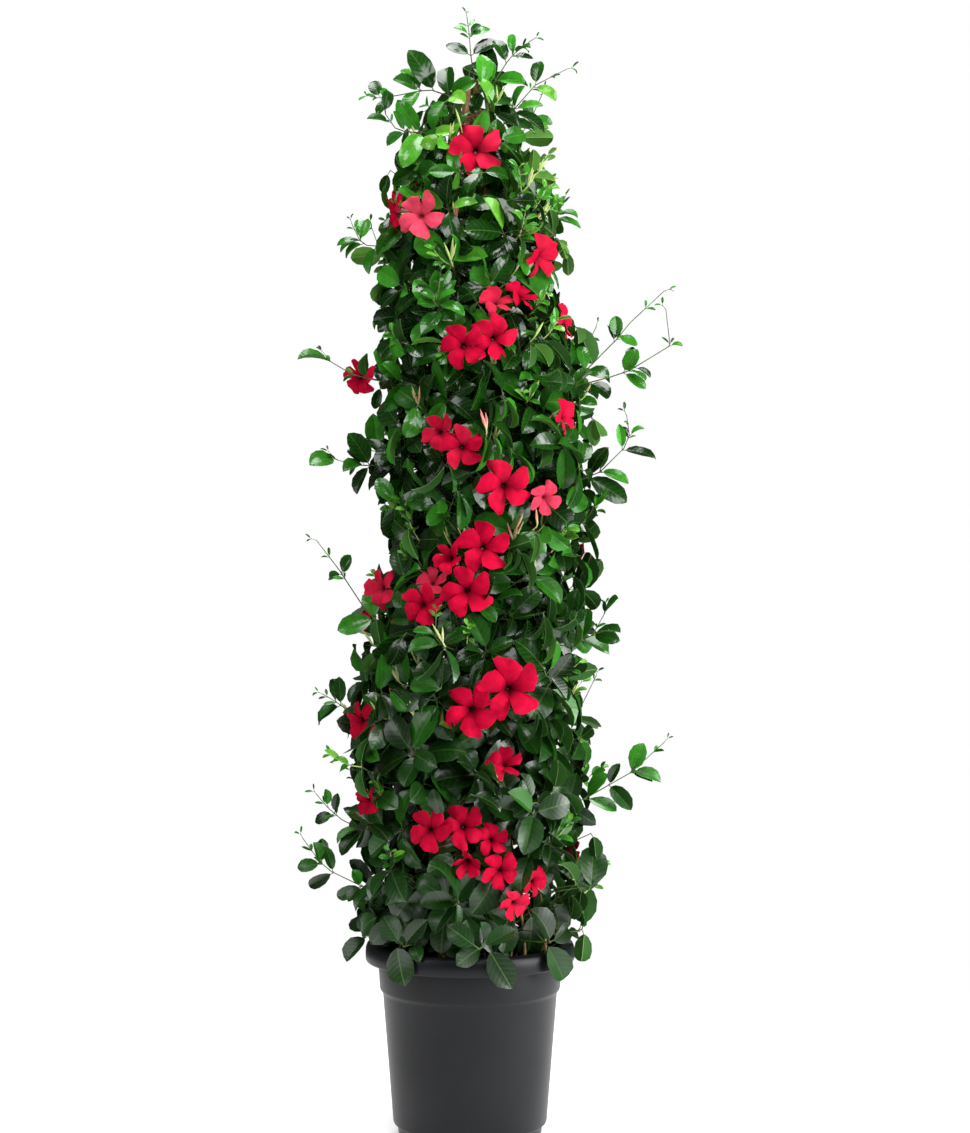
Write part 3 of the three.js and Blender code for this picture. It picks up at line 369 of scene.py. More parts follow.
def makeGrained(name, size, detail, stops, relief=None, **sockets):
    # a finish with one grain, this coarse along each axis, that its colour and its relief follow
    material = newMaterial(name, **sockets)
    add = partial(addNode, material)
    place = add("TexCoord")["Object"]
    scaled = add("Mapping", {"Vector": place, "Scale": [1 / part for part in size]})[0]
    grain = add("TexNoise", {"Vector": scaled, "Scale": 1, "Detail": detail})[0]
    add("ValToRGB", [grain], stops, into="Base Color")
    if relief:
        strength, depth = relief
        add("Bump", {"Height": grain, "Strength": strength, "Distance": depth}, into="Normal")
    return material


potFinish = {
    # grain drawn 0.9 mm coarse so that it shows, and faint flow clouds 70 mm wide
    "grain": 0.0009, "clouds": 0.07, "colours": [(0.3, 0x090a0d), (0.7, 0x0e1014)],
    # a map of the grain from the first two values to the last two
    "roughness": (0.3, 0.7, 0.34, 0.46), "relief": {"Strength": 0.2, "Distance": 0.1 * mm},
}


def makePotPlastic():
    # injection-moulded polypropylene: matt anthracite with a fine grained skin and a soft sheen
    finish = potFinish
    material = newMaterial("pottingPolypropylene", Roughness=0.45, IOR=1.49, Specular_IOR_Level=0.22)
    add = partial(addNode, material)
    place = add("TexCoord")["Object"]
    grain = add("TexNoise", {"Vector": place, "Scale": 1 / finish["grain"], "Detail": 2})[0]
    clouds = add("TexNoise", {"Vector": place, "Scale": 1 / finish["clouds"], "Detail": 3})[0]
    add("ValToRGB", [clouds], finish["colours"], into="Base Color")
    add("MapRange", [grain, *finish["roughness"]], into="Roughness")
    add("Bump", {"Height": grain, **finish["relief"]}, into="Normal")
    return material


compostFinish = {
    # bark chips about 5 mm across, most of them dark
    "chip": 0.005, "colours": [(0, 0x1c130d), (1, 0x9a7448), (0.7, 0x35241a), (0.9, 0x5d442d)],
    "relief": {"Strength": 0.8, "Distance": 1.2 * mm},
}


def makeCompost():
    # damp peat and bark compost: near black-brown with light bark chips, no shine
    finish = compostFinish
    material = newMaterial("barkCompost", Roughness=0.95, IOR=1.4, Specular_IOR_Level=0.2)
    add = partial(addNode, material)
    place = add("TexCoord")["Object"]
    chips = add("TexVoronoi", {"Vector": place, "Scale": 1 / finish["chip"]})
    shade = add("SeparateXYZ", [chips["Color"]])["X"]
    add("ValToRGB", [shade], finish["colours"], into="Base Color")
    add("Bump", {"Height": chips["Distance"], **finish["relief"]}, into="Normal")
    return material


leafTop = makeLeafTop()
leafUnder = makeLeafUnder()
petalTop = makePetalTop()
petalUnder = makePetalUnder()
bark = makeBark()
potPlastic = makePotPlastic()
compost = makeCompost()
# soft young shoot: smooth skin, green with brownish red blushes about 30 mm long
greenStem = makeGrained(
    "shootSkin", (30 * mm,) * 3, 2, [(0.32, 0x4a3826), (0.66, 0x5d7f35), (0.48, 0x3a5522)],
    Roughness=0.45, IOR=1.42)
# rolled flower bud: waxy, pale yellow-green, with a pink flush so wide, 60 mm, that whole buds differ
budSkin = makeGrained(
    "budSkin", (60 * mm,) * 3, 1, [(0.44, 0xa9c06c), (0.68, 0xd97f78), (0.58, 0xc3c489)],
    Roughness=0.5, IOR=1.42)
# dried bamboo: straw and brown fibres, 1 mm wide and 60 mm long, under a hard, slightly glossy rind
bamboo = makeGrained(
    "driedBamboo", (1 * mm, 1 * mm, 60 * mm), 4, [(0.3, 0x6b4a2a), (0.7, 0xb38f5c), (0.5, 0x926d42)],
    relief=(0.3, 0.2 * mm), Roughness=0.45, IOR=1.5)
# twisted jute twine: matt brown strands about 0.8 mm wide
twine = makeGrained(
    "juteTwine", (0.8 * mm,) * 3, 2, [(0.3, 0x4d3a24), (0.7, 0x94784f)],
    relief=(0.6, 0.4 * mm), Roughness=0.9, IOR=1.4, Specular_IOR_Level=0.2)
print("materials ready")


# How the frame's leaves are ruled: where their two rings lie along the blade, and how much of
# the full width the first one has. A leaf's rings are wide, a rod's are small.
ruled = {
    "base": 0.22, "baseShare": 0.88, "shoulder": 0.64, "leastCurl": 0.02, "wide": 8 * mm,
    "shootRadius": 1.45 * mm, "twigRadius": 1.55 * mm, "budNeck": 0.7,
    "budTip": 0.2 * mm, "shootTip": 0.3 * mm, "stemTip": 0.5 * mm,
}


def weldedCopy(node):
    mesh = bmesh.new()
    mesh.from_mesh(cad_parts[node].data)
    bmesh.ops.remove_doubles(mesh, verts=mesh.verts, dist=weldGap)
    mesh.verts.index_update()
    return mesh


def inOrder(ring):
    return sorted(ring, key=lambda corner: corner.index)


def ringBeyond(ring, known):
    return {edge.other_vert(corner) for corner in ring for edge in corner.link_edges} - known - ring


def middleOf(ring):
    return sum((corner.co for corner in inOrder(ring)), Vector()) / len(ring)


def radiusOf(ring):
    middle = middleOf(ring)
    return max((corner.co - middle).length for corner in ring)


def splitRing(ring):
    # the keel lies between the two edges, so it is the nearest to the others
    corners = [corner.co.copy() for corner in inOrder(ring)]
    return sorted(corners, key=lambda corner: sum((corner - other).length for other in corners))


def readBlade(tip, shoulder, base, root):
    keel, left, right = splitRing(base)
    farLeft, farRight = splitRing(shoulder)[1:]
    baseMiddle = (left + right) / 2
    shoulderMiddle = (farLeft + farRight) / 2
    low = shoulderMiddle - baseMiddle
    high = tip.co - shoulderMiddle
    curl = max(low.angle(high) / ((1 - ruled["base"]) / 2), ruled["leastCurl"])
    length = low.length * curl / (2 * math.sin(curl * (ruled["shoulder"] - ruled["base"]) / 2))
    forward = low.normalized()
    side = (right - left).normalized()
    lift = baseMiddle - keel
    lift = (lift - forward * lift.dot(forward) - side * lift.dot(side)).normalized()
    turn = curl * (ruled["base"] + ruled["shoulder"]) / 2
    along = forward * math.cos(turn) + lift * math.sin(turn)
    up = lift * math.cos(turn) - forward * math.sin(turn)
    bend = curl * ruled["base"]
    neck = baseMiddle - (along * math.sin(bend) - up * (1 - math.cos(bend))) * (length / curl)
    width = (right - left).length / ruled["baseShare"]
    return {"source": middleOf(root), "neck": neck, "along": along, "up": up, "length": length,
            "width": width, "curl": curl, "root": root}


def walkRod(ring, known):
    rings = [ring]
    reached = known | ring
    while True:
        ring = ringBeyond(ring, reached)
        if len(ring) != 3:
            return rings
        rings.append(ring)
        reached |= ring


def asRod(rings):
    # from the root outwards, as points with a radius
    return [(middleOf(ring), radiusOf(ring)) for ring in reversed(rings)]


def readVine(node):
    mesh = weldedCopy(node)
    blades, buds, twigs, stalks, shoots = [], [], [], [], []
    known = set()
    tips = [corner for corner in mesh.verts if len(corner.link_faces) == 3]
    narrow = []
    for tip in tips:
        shoulder = ringBeyond({tip}, set())
        if radiusOf(shoulder) * 2 < ruled["wide"]:
            narrow.append((tip, shoulder))
            continue
        base = ringBeyond(shoulder, {tip})
        root = ringBeyond(base, shoulder)
        known |= {tip} | shoulder | base
        blades.append(readBlade(tip, shoulder, base, root))
    shootCorners = set()
    for tip, ring in narrow:
        neck = ringBeyond(ring, known | {tip})
        if len(neck) == 3 and radiusOf(neck) < radiusOf(ring) * ruled["budNeck"]:
            rings = walkRod(ring, known | {tip})[:3]
            known |= {tip} | rings[0] | rings[1]
            buds.append(asRod(rings) + [(tip.co.copy(), ruled["budTip"])])
    for tip, ring in narrow:
        if tip in known or radiusOf(ring) > ruled["shootRadius"]:
            continue
        rings = walkRod(ring, known | {tip})
        known |= {tip}.union(*rings[:-1])
        shootCorners |= set().union(*rings[:-1])
        shoots.append(asRod(rings) + [(tip.co.copy(), ruled["shootTip"])])
    foot = min(mesh.verts, key=lambda corner: corner.co.z)
    for face in mesh.faces:
        ring = set(face.verts)
        if foot in ring or ring & known or len(ringBeyond(ring, known)) != 3:
            continue
        rings = walkRod(ring, known)
        known |= set().union(*rings[:-1])
        (twigs if radiusOf(ring) > ruled["twigRadius"] else stalks).append(asRod(rings))
    ends = (set(face.verts) for face in foot.link_faces)
    footRing = next(ring for ring in ends if all(corner.co.z < foot.co.z + mm for corner in ring))
    rings = walkRod(footRing, known)
    top = ringBeyond(rings[-1], known | rings[-2])
    stem = [(middleOf(ring), radiusOf(ring)) for ring in rings] + [(middleOf(top), ruled["stemTip"])]
    for blade in blades:
        blade["young"] = bool(blade.pop("root") & shootCorners)
    mesh.free()
    return {"stem": stem, "twigs": twigs, "stalks": stalks, "shoots": shoots, "buds": buds,
            "blades": blades}


vines = {node: readVine(node) for node in nodesNamed("vine_")}
for node, vine in vines.items():
    print(node, {part: len(found) for part, found in vine.items()})


# In the frame a bloom's petals are hinged at this share of its width from the axis, and a corner of
# this many faces is the top of a petal. The flower's centre stands this share before the hinges.
bloomRule = {"hinge": 0.15, "petals": 5, "topFaces": 7, "ahead": 0.05}


def readBloom(node):
    rule = bloomRule
    mesh = weldedCopy(node)
    throat = max(mesh.verts, key=lambda corner: len(corner.link_faces))
    tops, hinges = [], []
    for corner in inOrder(ringBeyond({throat}, set())):
        (tops if len(corner.link_faces) == rule["topFaces"] else hinges).append(corner.co.copy())
    middle = sum(hinges, Vector()) / len(hinges)
    axis = middle - throat.co
    reach = sum((hinge - middle).length for hinge in hinges) / len(hinges)
    closed = 2 * (math.atan2(axis.length, reach) - math.pi / 4)
    width = reach / (rule["hinge"] * math.cos(closed))
    facing = axis.normalized()
    petal = tops[0] - middle
    petal = (petal - facing * petal.dot(facing)).normalized()
    mesh.free()
    centre = middle + facing * (rule["ahead"] * width)
    return {"centre": centre, "facing": facing, "petal": petal, "width": width, "closed": closed}


blooms = {node: readBloom(node) for node in nodesNamed("bloom_")}
print("blooms read", len(blooms))


leafShape = {
    "length": 60 * mm, "width": 40 * mm, "thickness": 0.55 * mm, "across": 4, "ribDrop": 0.6 * mm,
    # share along the blade and share of the full width there, from petiole to tip
    "outline": [(0, 0.07), (0.09, 0.48), (0.28, 0.88), (0.53, 1.0), (0.76, 0.86), (0.92, 0.42), (1, 0.02)],
    # how each leaf differs: fold along its rib and twist in degrees, cupping and edge waves in mm,
    # and how far its tip bends down as a share of its length, from this share on
    "fold": (4, 36), "twist": (-18, 18), "untwisted": 0.3, "cup": (-0.8, 2.6), "wave": (0.2, 1.2),
    "waves": 1.5, "between": 1.7, "tipDrop": (0.0, 0.13), "dropFrom": 0.55, "dropOver": 0.2,
}


def choose(obj, test):
    # in edit mode: selects the corners whose place passes the test
    edited = bmesh.from_edit_mesh(obj.data)
    for corner in edited.verts:
        corner.select = test(corner.co)
    edited.select_flush_mode()
    bmesh.update_edit_mesh(obj.data)


def shapeSheet(name, length, width, outline, across):
    # a flat sheet along +X from the origin, drawn in to its outline row by row
    deselect()
    rows = len(outline) - 1
    bpy.ops.mesh.primitive_grid_add(x_subdivisions=rows, y_subdivisions=across, size=1, enter_editmode=True)
    sheet = bpy.context.object
    sheet.name = name
    bpy.ops.transform.translate(value=(0.5, 0, 0))
    bpy.ops.transform.resize(value=(length, width, 1), center_override=(0, 0, 0))
    moves = list(enumerate(outline))
    # rows move towards the tip from the far end, or towards the root from the near end, so that no row
    # passes another, and each is lifted off the sheet once it has moved
    ahead = [(row, stop) for row, stop in moves if stop[0] >= row / rows]
    behind = [(row, stop) for row, stop in moves if stop[0] < row / rows]
    for row, (share, half) in ahead[::-1] + behind:
        old = length * row / rows
        choose(sheet, lambda place: abs(place.x - old) < 0.1 * mm and not place.z)
        bpy.ops.transform.translate(value=(length * share - old, 0, 0))
        bpy.ops.transform.resize(value=(1, half, 1), center_override=(length * share, 0, 0))
        bpy.ops.transform.translate(value=(0, 0, width))
    bpy.ops.mesh.select_all(action="SELECT")
    bpy.ops.transform.translate(value=(0, 0, -width))
    return sheet


def setUv(obj, rule):
    layer = obj.data.uv_layers.active or obj.data.uv_layers.new(name="UVMap")
    for loop in obj.data.loops:
        layer.data[loop.index].uv = rule(obj.data.vertices[loop.vertex_index].co)


def asTemplate(obj):
    # the finished mesh as arrays, for copying
    mesh = obj.data

    def read(items, field, width=1, kind=float):
        values = np.empty(len(items) * width, kind)
        items.foreach_get(field, values)
        return values

    template = {
        "points": read(mesh.vertices, "co", 3).reshape(-1, 3),
        "corners": read(mesh.loops, "vertex_index", kind=int),
        "sizes": read(mesh.polygons, "loop_total", kind=int),
        "slots": read(mesh.polygons, "material_index", kind=int),
        "uv": read(mesh.uv_layers.active.data, "uv", 2),
    }
    bpy.data.objects.remove(obj)
    return template


def joinParts(name, parts):
    # one mesh of many copies, each with its own points and its own tone
    mesh = bpy.data.meshes.new(name)
    templates, points, tones = zip(*parts)
    counts = [len(copied) for copied in points]
    offsets = np.concatenate([[0], np.cumsum(counts)[:-1]])
    corners = np.concatenate([template["corners"] + offset for template, offset in zip(templates, offsets)])
    sizes, slots, uv = (
        np.concatenate([template[field] for template in templates]) for field in ("sizes", "slots", "uv"))
    mesh.vertices.add(sum(counts))
    mesh.vertices.foreach_set("co", np.concatenate(points).ravel())
    mesh.loops.add(len(corners))
    mesh.loops.foreach_set("vertex_index", corners)
    mesh.polygons.add(len(sizes))
    mesh.polygons.foreach_set("loop_start", np.concatenate([[0], np.cumsum(sizes)[:-1]]))
    mesh.polygons.foreach_set("material_index", slots)
    mesh.update(calc_edges=True)
    mesh.uv_layers.new(name="UVMap").data.foreach_set("uv", uv)
    mesh.attributes.new("tone", "FLOAT", "POINT").data.foreach_set("value", np.repeat(tones, counts))
    joined = bpy.data.objects.new(name, mesh)
    bpy.context.collection.objects.link(joined)
    smooth(joined, 50)
    return joined


def thickened(sheet, thickness, rimSlot, *materials):
    # the sheet's own face keeps the first material, its back gets the second
    for material in materials:
        sheet.data.materials.append(material)
    addModifier(
        sheet, "SOLIDIFY", thickness=thickness, offset=-1, material_offset=1, material_offset_rim=rimSlot)
    applyModifiers(sheet)
    return asTemplate(sheet)


def makeLeaf():
    shape = leafShape
    sheet = shapeSheet("leaf", shape["length"], shape["width"], shape["outline"], shape["across"])
    choose(sheet, lambda place: abs(place.y) < 0.01 * mm)
    bpy.ops.transform.translate(value=(0, 0, -shape["ribDrop"]))
    bpy.ops.object.mode_set(mode="OBJECT")
    setUv(sheet, lambda place: (place.x / shape["length"], place.y / shape["width"] + 0.5))
    return thickened(sheet, shape["thickness"], 1, leafTop, leafUnder)


def bladePlaces(blade, share, side, lift):
    # points along a blade's arc: share of its length, metres to its side and above its face
    bend = blade["curl"] * share
    along, lifted = np.array(blade["along"]), np.array(blade["up"])
    across = np.cross(lifted, along)
    forward = blade["length"] * np.sin(bend) / blade["curl"]
    drop = blade["length"] * (1 - np.cos(bend)) / blade["curl"]
    spine = np.array(blade["neck"]) + forward[:, None] * along - drop[:, None] * lifted
    normal = np.cos(bend)[:, None] * lifted + np.sin(bend)[:, None] * along
    return spine + side[:, None] * across + lift[:, None] * normal


def layLeaf(blade):
    shape, points = leafShape, leaf["points"]
    share = points[:, 0] / shape["length"]
    half = blade["width"] / 2
    out = points[:, 1] / (shape["width"] / 2)
    scale = blade["length"] / shape["length"]
    fold, twist = math.radians(between(shape["fold"])), math.radians(between(shape["twist"]))
    wave, cup = between(shape["wave"]) * scale * mm, between(shape["cup"]) * scale * mm
    phase = dice.uniform(0, 2 * math.pi)
    ripple = np.sin(2 * math.pi * shape["waves"] * share + phase + shape["between"] * (out > 0))
    side = out * half * math.cos(fold)
    lift = points[:, 2] + np.abs(out) * half * math.sin(fold) - (cup - wave * ripple) * out ** 2
    beyond = np.clip(share - shape["dropFrom"], 0, 1) ** 2 / shape["dropOver"]
    lift = lift - between(shape["tipDrop"]) * blade["length"] * beyond
    turn = twist * (share - shape["untwisted"])
    turned = side * np.cos(turn) - lift * np.sin(turn), lift * np.cos(turn) + side * np.sin(turn)
    return bladePlaces(blade, share, *turned)


leaf = makeLeaf()
print("leaf of", len(leaf["sizes"]), "faces")


# every leaf that stands, up to 5000 of them: its middle and a plain strip in its place. Leaves whose
# middles are further apart than the reach can't touch.
crown = {
    "middles": np.zeros((5000, 3)), "trees": [], "reach": 74 * mm, "halfLeaf": 35 * mm,
    # its shape is read at this many heights, each from a band this far up and down: its middle between
    # these two percentiles of the leaves' x, and its half width at this one of their distances
    "bins": 24, "band": 60 * mm, "edges": (4, 96), "half": 90,
}
stripShare = np.repeat([0.02, 0.15, 0.4, 0.64, 0.86, 1.02], 2)
stripSide = np.repeat([0.1, 0.74, 1.02, 0.96, 0.6, 0.02], 2) * np.tile([-1, 1], 6)
stripFaces = [(2 * i, 2 * i + 1, 2 * i + 3, 2 * i + 2) for i in range(5)]
hardNodes = [node for node in sorted(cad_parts) if not node.startswith("vine_")]
solids = [BVHTree.FromBMesh(weldedCopy(node)) for node in hardNodes]
# old bare stems at the right of the front, in mm from the soil up to where they join a twining stem
bareStems = {
    "paths": [[(79, -62, 244), (77, -67, 285), (72, -62, 335), (63, -48, 395)],
              [(109, -30, 244), (106, -38, 300), (98, -40, 360), (82, -30, 430)]],
    "joinAbove": 80 * mm, "foot": 2.5 * mm, "thinner": 0.2 * mm, "clear": 15 * mm,
}

# what no leaf may hide: its place in metres, which way it faces, and its radius. First come the
# flowers, out to this share of their width.
flowerShare = 0.48
sights = [(bloom["centre"], bloom["facing"], bloom["width"] * flowerShare) for bloom in blooms.values()]
# the bare patch over the soil at the right of the front, and the bare stems that rise from it
sights.append(((0.1, 0.03, 0.3), (0, -0.98, 0.17), 42 * mm))
sights.append(((0.15, -0.02, 0.272), (0, -1, 0.1), 24 * mm))
for path in bareStems["paths"]:
    for start, end in zip(path[:2], path[1:3]):
        for share in (0.1, 0.5, 0.9):
            place = np.array(Vector(start).lerp(Vector(end), share)) * mm
            sights.append((place, (0, -1, 0), bareStems["clear"]))
# the bare cane tips at the top
sights.append(((-0.004, -0.02, 1.485), (0, -1, 0), 26 * mm))
sights = [(np.array(centre), np.array(facing), radius) for centre, facing, radius in sights]
# how far in front of its centre, and how little behind it, a flower is kept clear
sightFrom, sightTo = -4 * mm, 150 * mm


def stripPlaces(blade):
    return bladePlaces(blade, stripShare, stripSide * blade["width"] / 2, 0 * stripSide)


def stripTree(blade):
    return BVHTree.FromPolygons(stripPlaces(blade).tolist(), stripFaces)


def bladeMiddle(blade):
    return bladePlaces(blade, np.array([0.5]), np.zeros(1), np.zeros(1))[0]


def stand(blade, tree=None):
    crown["middles"][len(crown["trees"])] = bladeMiddle(blade)
    crown["trees"].append(tree or stripTree(blade))


def nearTrees(place, reach):
    count = len(crown["trees"])
    gaps = np.linalg.norm(crown["middles"][:count] - np.array(place), axis=1)
    return [crown["trees"][i] for i in np.nonzero(gaps < reach)[0]]


def roomAt(place):
    count = len(crown["trees"])
    return np.linalg.norm(crown["middles"][:count] - np.array(place), axis=1).min()


def hidesBloom(places):
    for centre, facing, radius in sights:
        away = places - centre
        ahead = away @ facing
        aside = np.linalg.norm(away - ahead[:, None] * facing, axis=1)
        if np.any((ahead > sightFrom) & (ahead < sightTo) & (aside < radius)):
            return True
    return False


def placeLeaf(vine, blade):
    # adds the leaf where nothing is in its way
    tree = stripTree(blade)
    if any(tree.overlap(other) for other in solids + nearTrees(bladeMiddle(blade), crown["reach"])):
        return False
    stand(blade, tree)
    vine["blades"].append(blade)
    return True


def pathFree(start, end):
    way = end - start
    around = nearTrees((start + end) / 2, way.length / 2 + crown["halfLeaf"]) + solids
    return not any(tree.ray_cast(start, way.normalized(), way.length)[0] for tree in around)


for vine in vines.values():
    for blade in vine["blades"]:
        stand(blade)

# the crown's own shape by height: where its middle is and how far its leaves reach from it
ripe = np.array([
    bladeMiddle(blade) for vine in vines.values() for blade in vine["blades"] if not blade["young"]])
crownHeights = np.linspace(ripe[:, 2].min(), ripe[:, 2].max(), crown["bins"])
crownLeans, crownHalves = [], []
for height in crownHeights:
    band = ripe[np.abs(ripe[:, 2] - height) < crown["band"]]
    lean = sum(np.percentile(band[:, 0], edge) for edge in crown["edges"]) / 2
    crownLeans.append(lean)
    crownHalves.append(np.percentile(np.hypot(band[:, 0] - lean, band[:, 1]), crown["half"]))


def crownAt(height):
    middle = Vector((np.interp(height, crownHeights, crownLeans), 0, height))
    return middle, np.interp(height, crownHeights, crownHalves)


growth = {
    # shells of twigs from outside in: how many, how far out they end and how many leaves each gets
    "shells": [(210, (0.84, 1.02), 4), (150, (0.62, 0.82), 4), (70, (0.35, 0.6), 3)],
    "lowest": 0.27, "highest": 1.42, "thinUp": 1.2, "crowded": 14 * mm,
    "goldenTurn": math.radians(137.5), "stray": (-0.2, 0.2),
    # the skirt that hangs over the rim: how many twigs, how evenly they stand, and where they end
    "skirt": 36, "skirtStray": (-0.1, 0.1), "skirtReach": (0.095, 0.14), "skirtHeight": (0.288, 0.34),
    "skirtLeaves": 4,
    # a twig leaves its stem this much lower than it ends and this far outside the stem's middle line,
    # is at least this long, and bears a second pair of leaves at this share from this length on
    "drop": (0.0, 45 * mm), "start": 5 * mm, "least": 12 * mm, "pairAt": 0.55, "longTwig": 45 * mm,
    "twigRadius": 1.2 * mm, "taper": (0.9, 0.75), "sag": -0.06, "frameTwigPairs": (0.4, 0.75),
    # a leaf has so many tries to find room, the last ones at this share of its size
    "tries": 12, "fullTries": 8, "small": 0.8, "length": (35 * mm, 60 * mm), "petiole": (5 * mm, 11 * mm),
    # in degrees: how far a pair turns round its twig, and a leaf's turn, lift and curl
    "lead": (-60, 60), "turn": (-35, 35), "lift": (-10, 44), "curl": (8, 46),
    # low down and high up: size, and least and greatest breadth by length
    "sizeHeights": (0.3, 1.5), "large": (1.06, 0.95),
    "breadthHeights": (0.3, 1.1), "slimmest": (0.66, 0.52), "broadest": (0.84, 0.7),
    # how far leaves may reach beyond the crown's own shape, and over the rim from the pot's axis
    "beyond": 24 * mm, "narrowHeights": (0.34, 0.5), "narrow": (166 * mm, 0.3), "floor": 222 * mm,
    # gaps are looked for from this many sides, on a finer grid each time, over this share of the crown,
    # from this far above its foot, by an eye this far away and this high
    "sides": 8, "grids": (13 * mm, 11 * mm, 9 * mm), "core": 0.95, "above": 30 * mm, "eye": (3.1, 0.817),
    # how far to the side of a gap its twig may end, one try each, how deep and how high, and its leaves
    "shifts": (-20 * mm, 20 * mm, -8 * mm), "depth": (-0.75, 0.75), "rise": (-0.01, 0.03), "inGap": 3,
}
# How leaves face, as shares of up, outwards and round the crown beside the way they face already. One
# in a gap also turns across the line of sight.
faces = {
    "up": (0.0, 1.0), "around": (-1.0, 1.0), "gapUp": (0.0, 0.7), "gapOut": (0.0, 0.4), "gapTurn": (0.4, 1.0),
}


def newBlade(source, neck, heading, facing, length, slimness, curl, young=False):
    across = facing.cross(heading).normalized()
    return {
        "source": source, "neck": neck, "along": heading, "up": heading.cross(across), "length": length,
        "width": length * between(slimness), "curl": math.radians(between(curl)), "young": young}


def awayFrom(place):
    # level and straight away from the crown's middle
    middle, half = crownAt(place.z)
    return Vector((place.x - middle.x, place.y, 0)), half


def drawBlade(source, along, turn, small, towards):
    outward = awayFrom(source)[0].normalized()
    around = zUp.cross(outward)
    flat = around * math.sin(turn) - zUp * math.cos(turn)
    lift = math.radians(between(growth["lift"]))
    heading = (flat * math.cos(lift) + outward * math.sin(lift)).normalized()
    if towards:
        facing = towards + zUp * between(faces["gapUp"]) + outward * between(faces["gapOut"])
        heading -= towards * heading.dot(towards) * between(faces["gapTurn"])
        heading.normalize()
    else:
        facing = outward + zUp * between(faces["up"]) + around * between(faces["around"])
    length = between(growth["length"]) * small
    length *= np.interp(source.z, growth["sizeHeights"], growth["large"])
    slimness = [
        np.interp(source.z, growth["breadthHeights"], growth[end]) for end in ("slimmest", "broadest")]
    way = (heading + along * 0.5).normalized()
    neck = source + way * between(growth["petiole"])
    return newBlade(source, neck, heading, facing, length, slimness, growth["curl"])


def insideCrown(blade):
    tip = blade["neck"] + blade["along"] * blade["length"]
    middle, half = crownAt(tip.z)
    # the crown stays narrow over the rim
    reach = min(half + growth["beyond"], np.interp(tip.z, growth["narrowHeights"], growth["narrow"]))
    return (tip - middle).length < reach and tip.z > growth["floor"]


def growLeaf(vine, source, along, turn, towards=None):
    # takes the free place with the most room round it
    ways = []
    for i in range(growth["tries"]):
        turned = turn + math.radians(between(growth["turn"]))
        small = 1 if i < growth["fullTries"] else growth["small"]
        blade = drawBlade(source, along, turned, small, towards)
        if insideCrown(blade):
            ways.append((roomAt(bladeMiddle(blade)), i, blade))
    for _, _, blade in sorted(ways, reverse=True):
        if not hidesBloom(stripPlaces(blade)) and placeLeaf(vine, blade):
            return


def stemPoint(vine, height):
    points = [point for point, radius in vine["stem"]]
    heights = [point.z for point in points]
    return Vector([np.interp(height, heights, [point[axis] for point in points]) for axis in range(3)])


def growTwig(target, leaves, towards=None):
    # from the nearest stem that it can be reached from, freely
    source = target.z - between(growth["drop"])
    byStem = sorted(vines.values(), key=lambda vine: (stemPoint(vine, source) - target).length)
    for vine in byStem[:2]:
        start = stemPoint(vine, min(source, vine["stem"][-2][0].z))
        way = target - start
        if way.length < growth["least"] or not pathFree(start + way.normalized() * growth["start"], target):
            continue
        lead = between(growth["lead"])
        before = len(vine["blades"])
        for turn in [0, 90, -90, 180][:leaves]:
            growLeaf(vine, target, way.normalized(), math.radians(lead + turn), towards)
        if way.length > growth["longTwig"]:
            place = start + way * growth["pairAt"]
            for turn in (180, 0):
                growLeaf(vine, place, way.normalized(), math.radians(lead + turn))
        if len(vine["blades"]) > before:
            halfWay = start + way * 0.5 + zUp * (growth["sag"] * way.length)
            vine["twigs"].append(bentRod(start, halfWay, target, growth["twigRadius"], growth["taper"]))
            return True
    return False


def closeGaps(angle, grid):
    # looks through the crown from one side and grows leaves wherever that shows what is behind
    towards = aimed(angle)
    eye = towards * growth["eye"][0] + zUp * growth["eye"][1]
    aside = zUp.cross(towards)
    corners, faces = [], []
    for vine in vines.values():
        for blade in vine["blades"]:
            start = len(corners)
            corners += stripPlaces(blade).tolist()
            faces += [[start + corner for corner in face] for face in stripFaces]
    tree = BVHTree.FromPolygons(corners, faces)
    found = 0
    for height in np.arange(growth["lowest"] + growth["above"], growth["highest"], grid):
        middle, half = crownAt(height)
        reach = half * growth["core"]
        for offset in np.arange(-reach, reach, grid):
            look = middle + aside * offset - eye
            if tree.ray_cast(eye, look.normalized(), 2 * growth["eye"][0])[0]:
                continue
            found += 1
            for shift in growth["shifts"]:
                depth = between(growth["depth"]) * math.sqrt(half ** 2 - offset ** 2)
                place = middle + aside * (offset + shift) + towards * depth
                if growTwig(place + zUp * between(growth["rise"]), growth["inGap"], towards):
                    break
    return found


# leaves that hang at the rim, row by row: where round it, radius and height of the twig's end and
# of the leaf's neck, and how far they point outwards for each step down
rimRows = [
    {"degrees": (-131, -79, -44, 38, 75, 110, 146), "joint": (128 * mm, 306 * mm),
     "neck": (154 * mm, 287 * mm), "length": (48 * mm, 60 * mm), "outwards": 0.28},
    {"degrees": (-172,), "joint": (130 * mm, 300 * mm), "neck": (153 * mm, 285 * mm),
     "length": (42 * mm, 46 * mm), "outwards": 1.1},
    {"degrees": (*range(-176, -60, 14), *range(8, 180, 20)), "joint": (100 * mm, 340 * mm),
     "neck": (122 * mm, 328 * mm), "length": (46 * mm, 58 * mm), "outwards": 0.35},
]
rimLeaves = {
    "slimness": (0.7, 0.82), "curl": (4, 16), "tries": 16, "stray": 0.6, "swing": 0.7,
    "stemDrop": 10 * mm, "rise": 4 * mm, "taper": (0.9, 0.8),
    # those at the front, from this way outwards on, turn their faces to it
    "faceUp": 0.3, "front": Vector((0, 1.2, 0)), "frontFrom": 0.2,
}


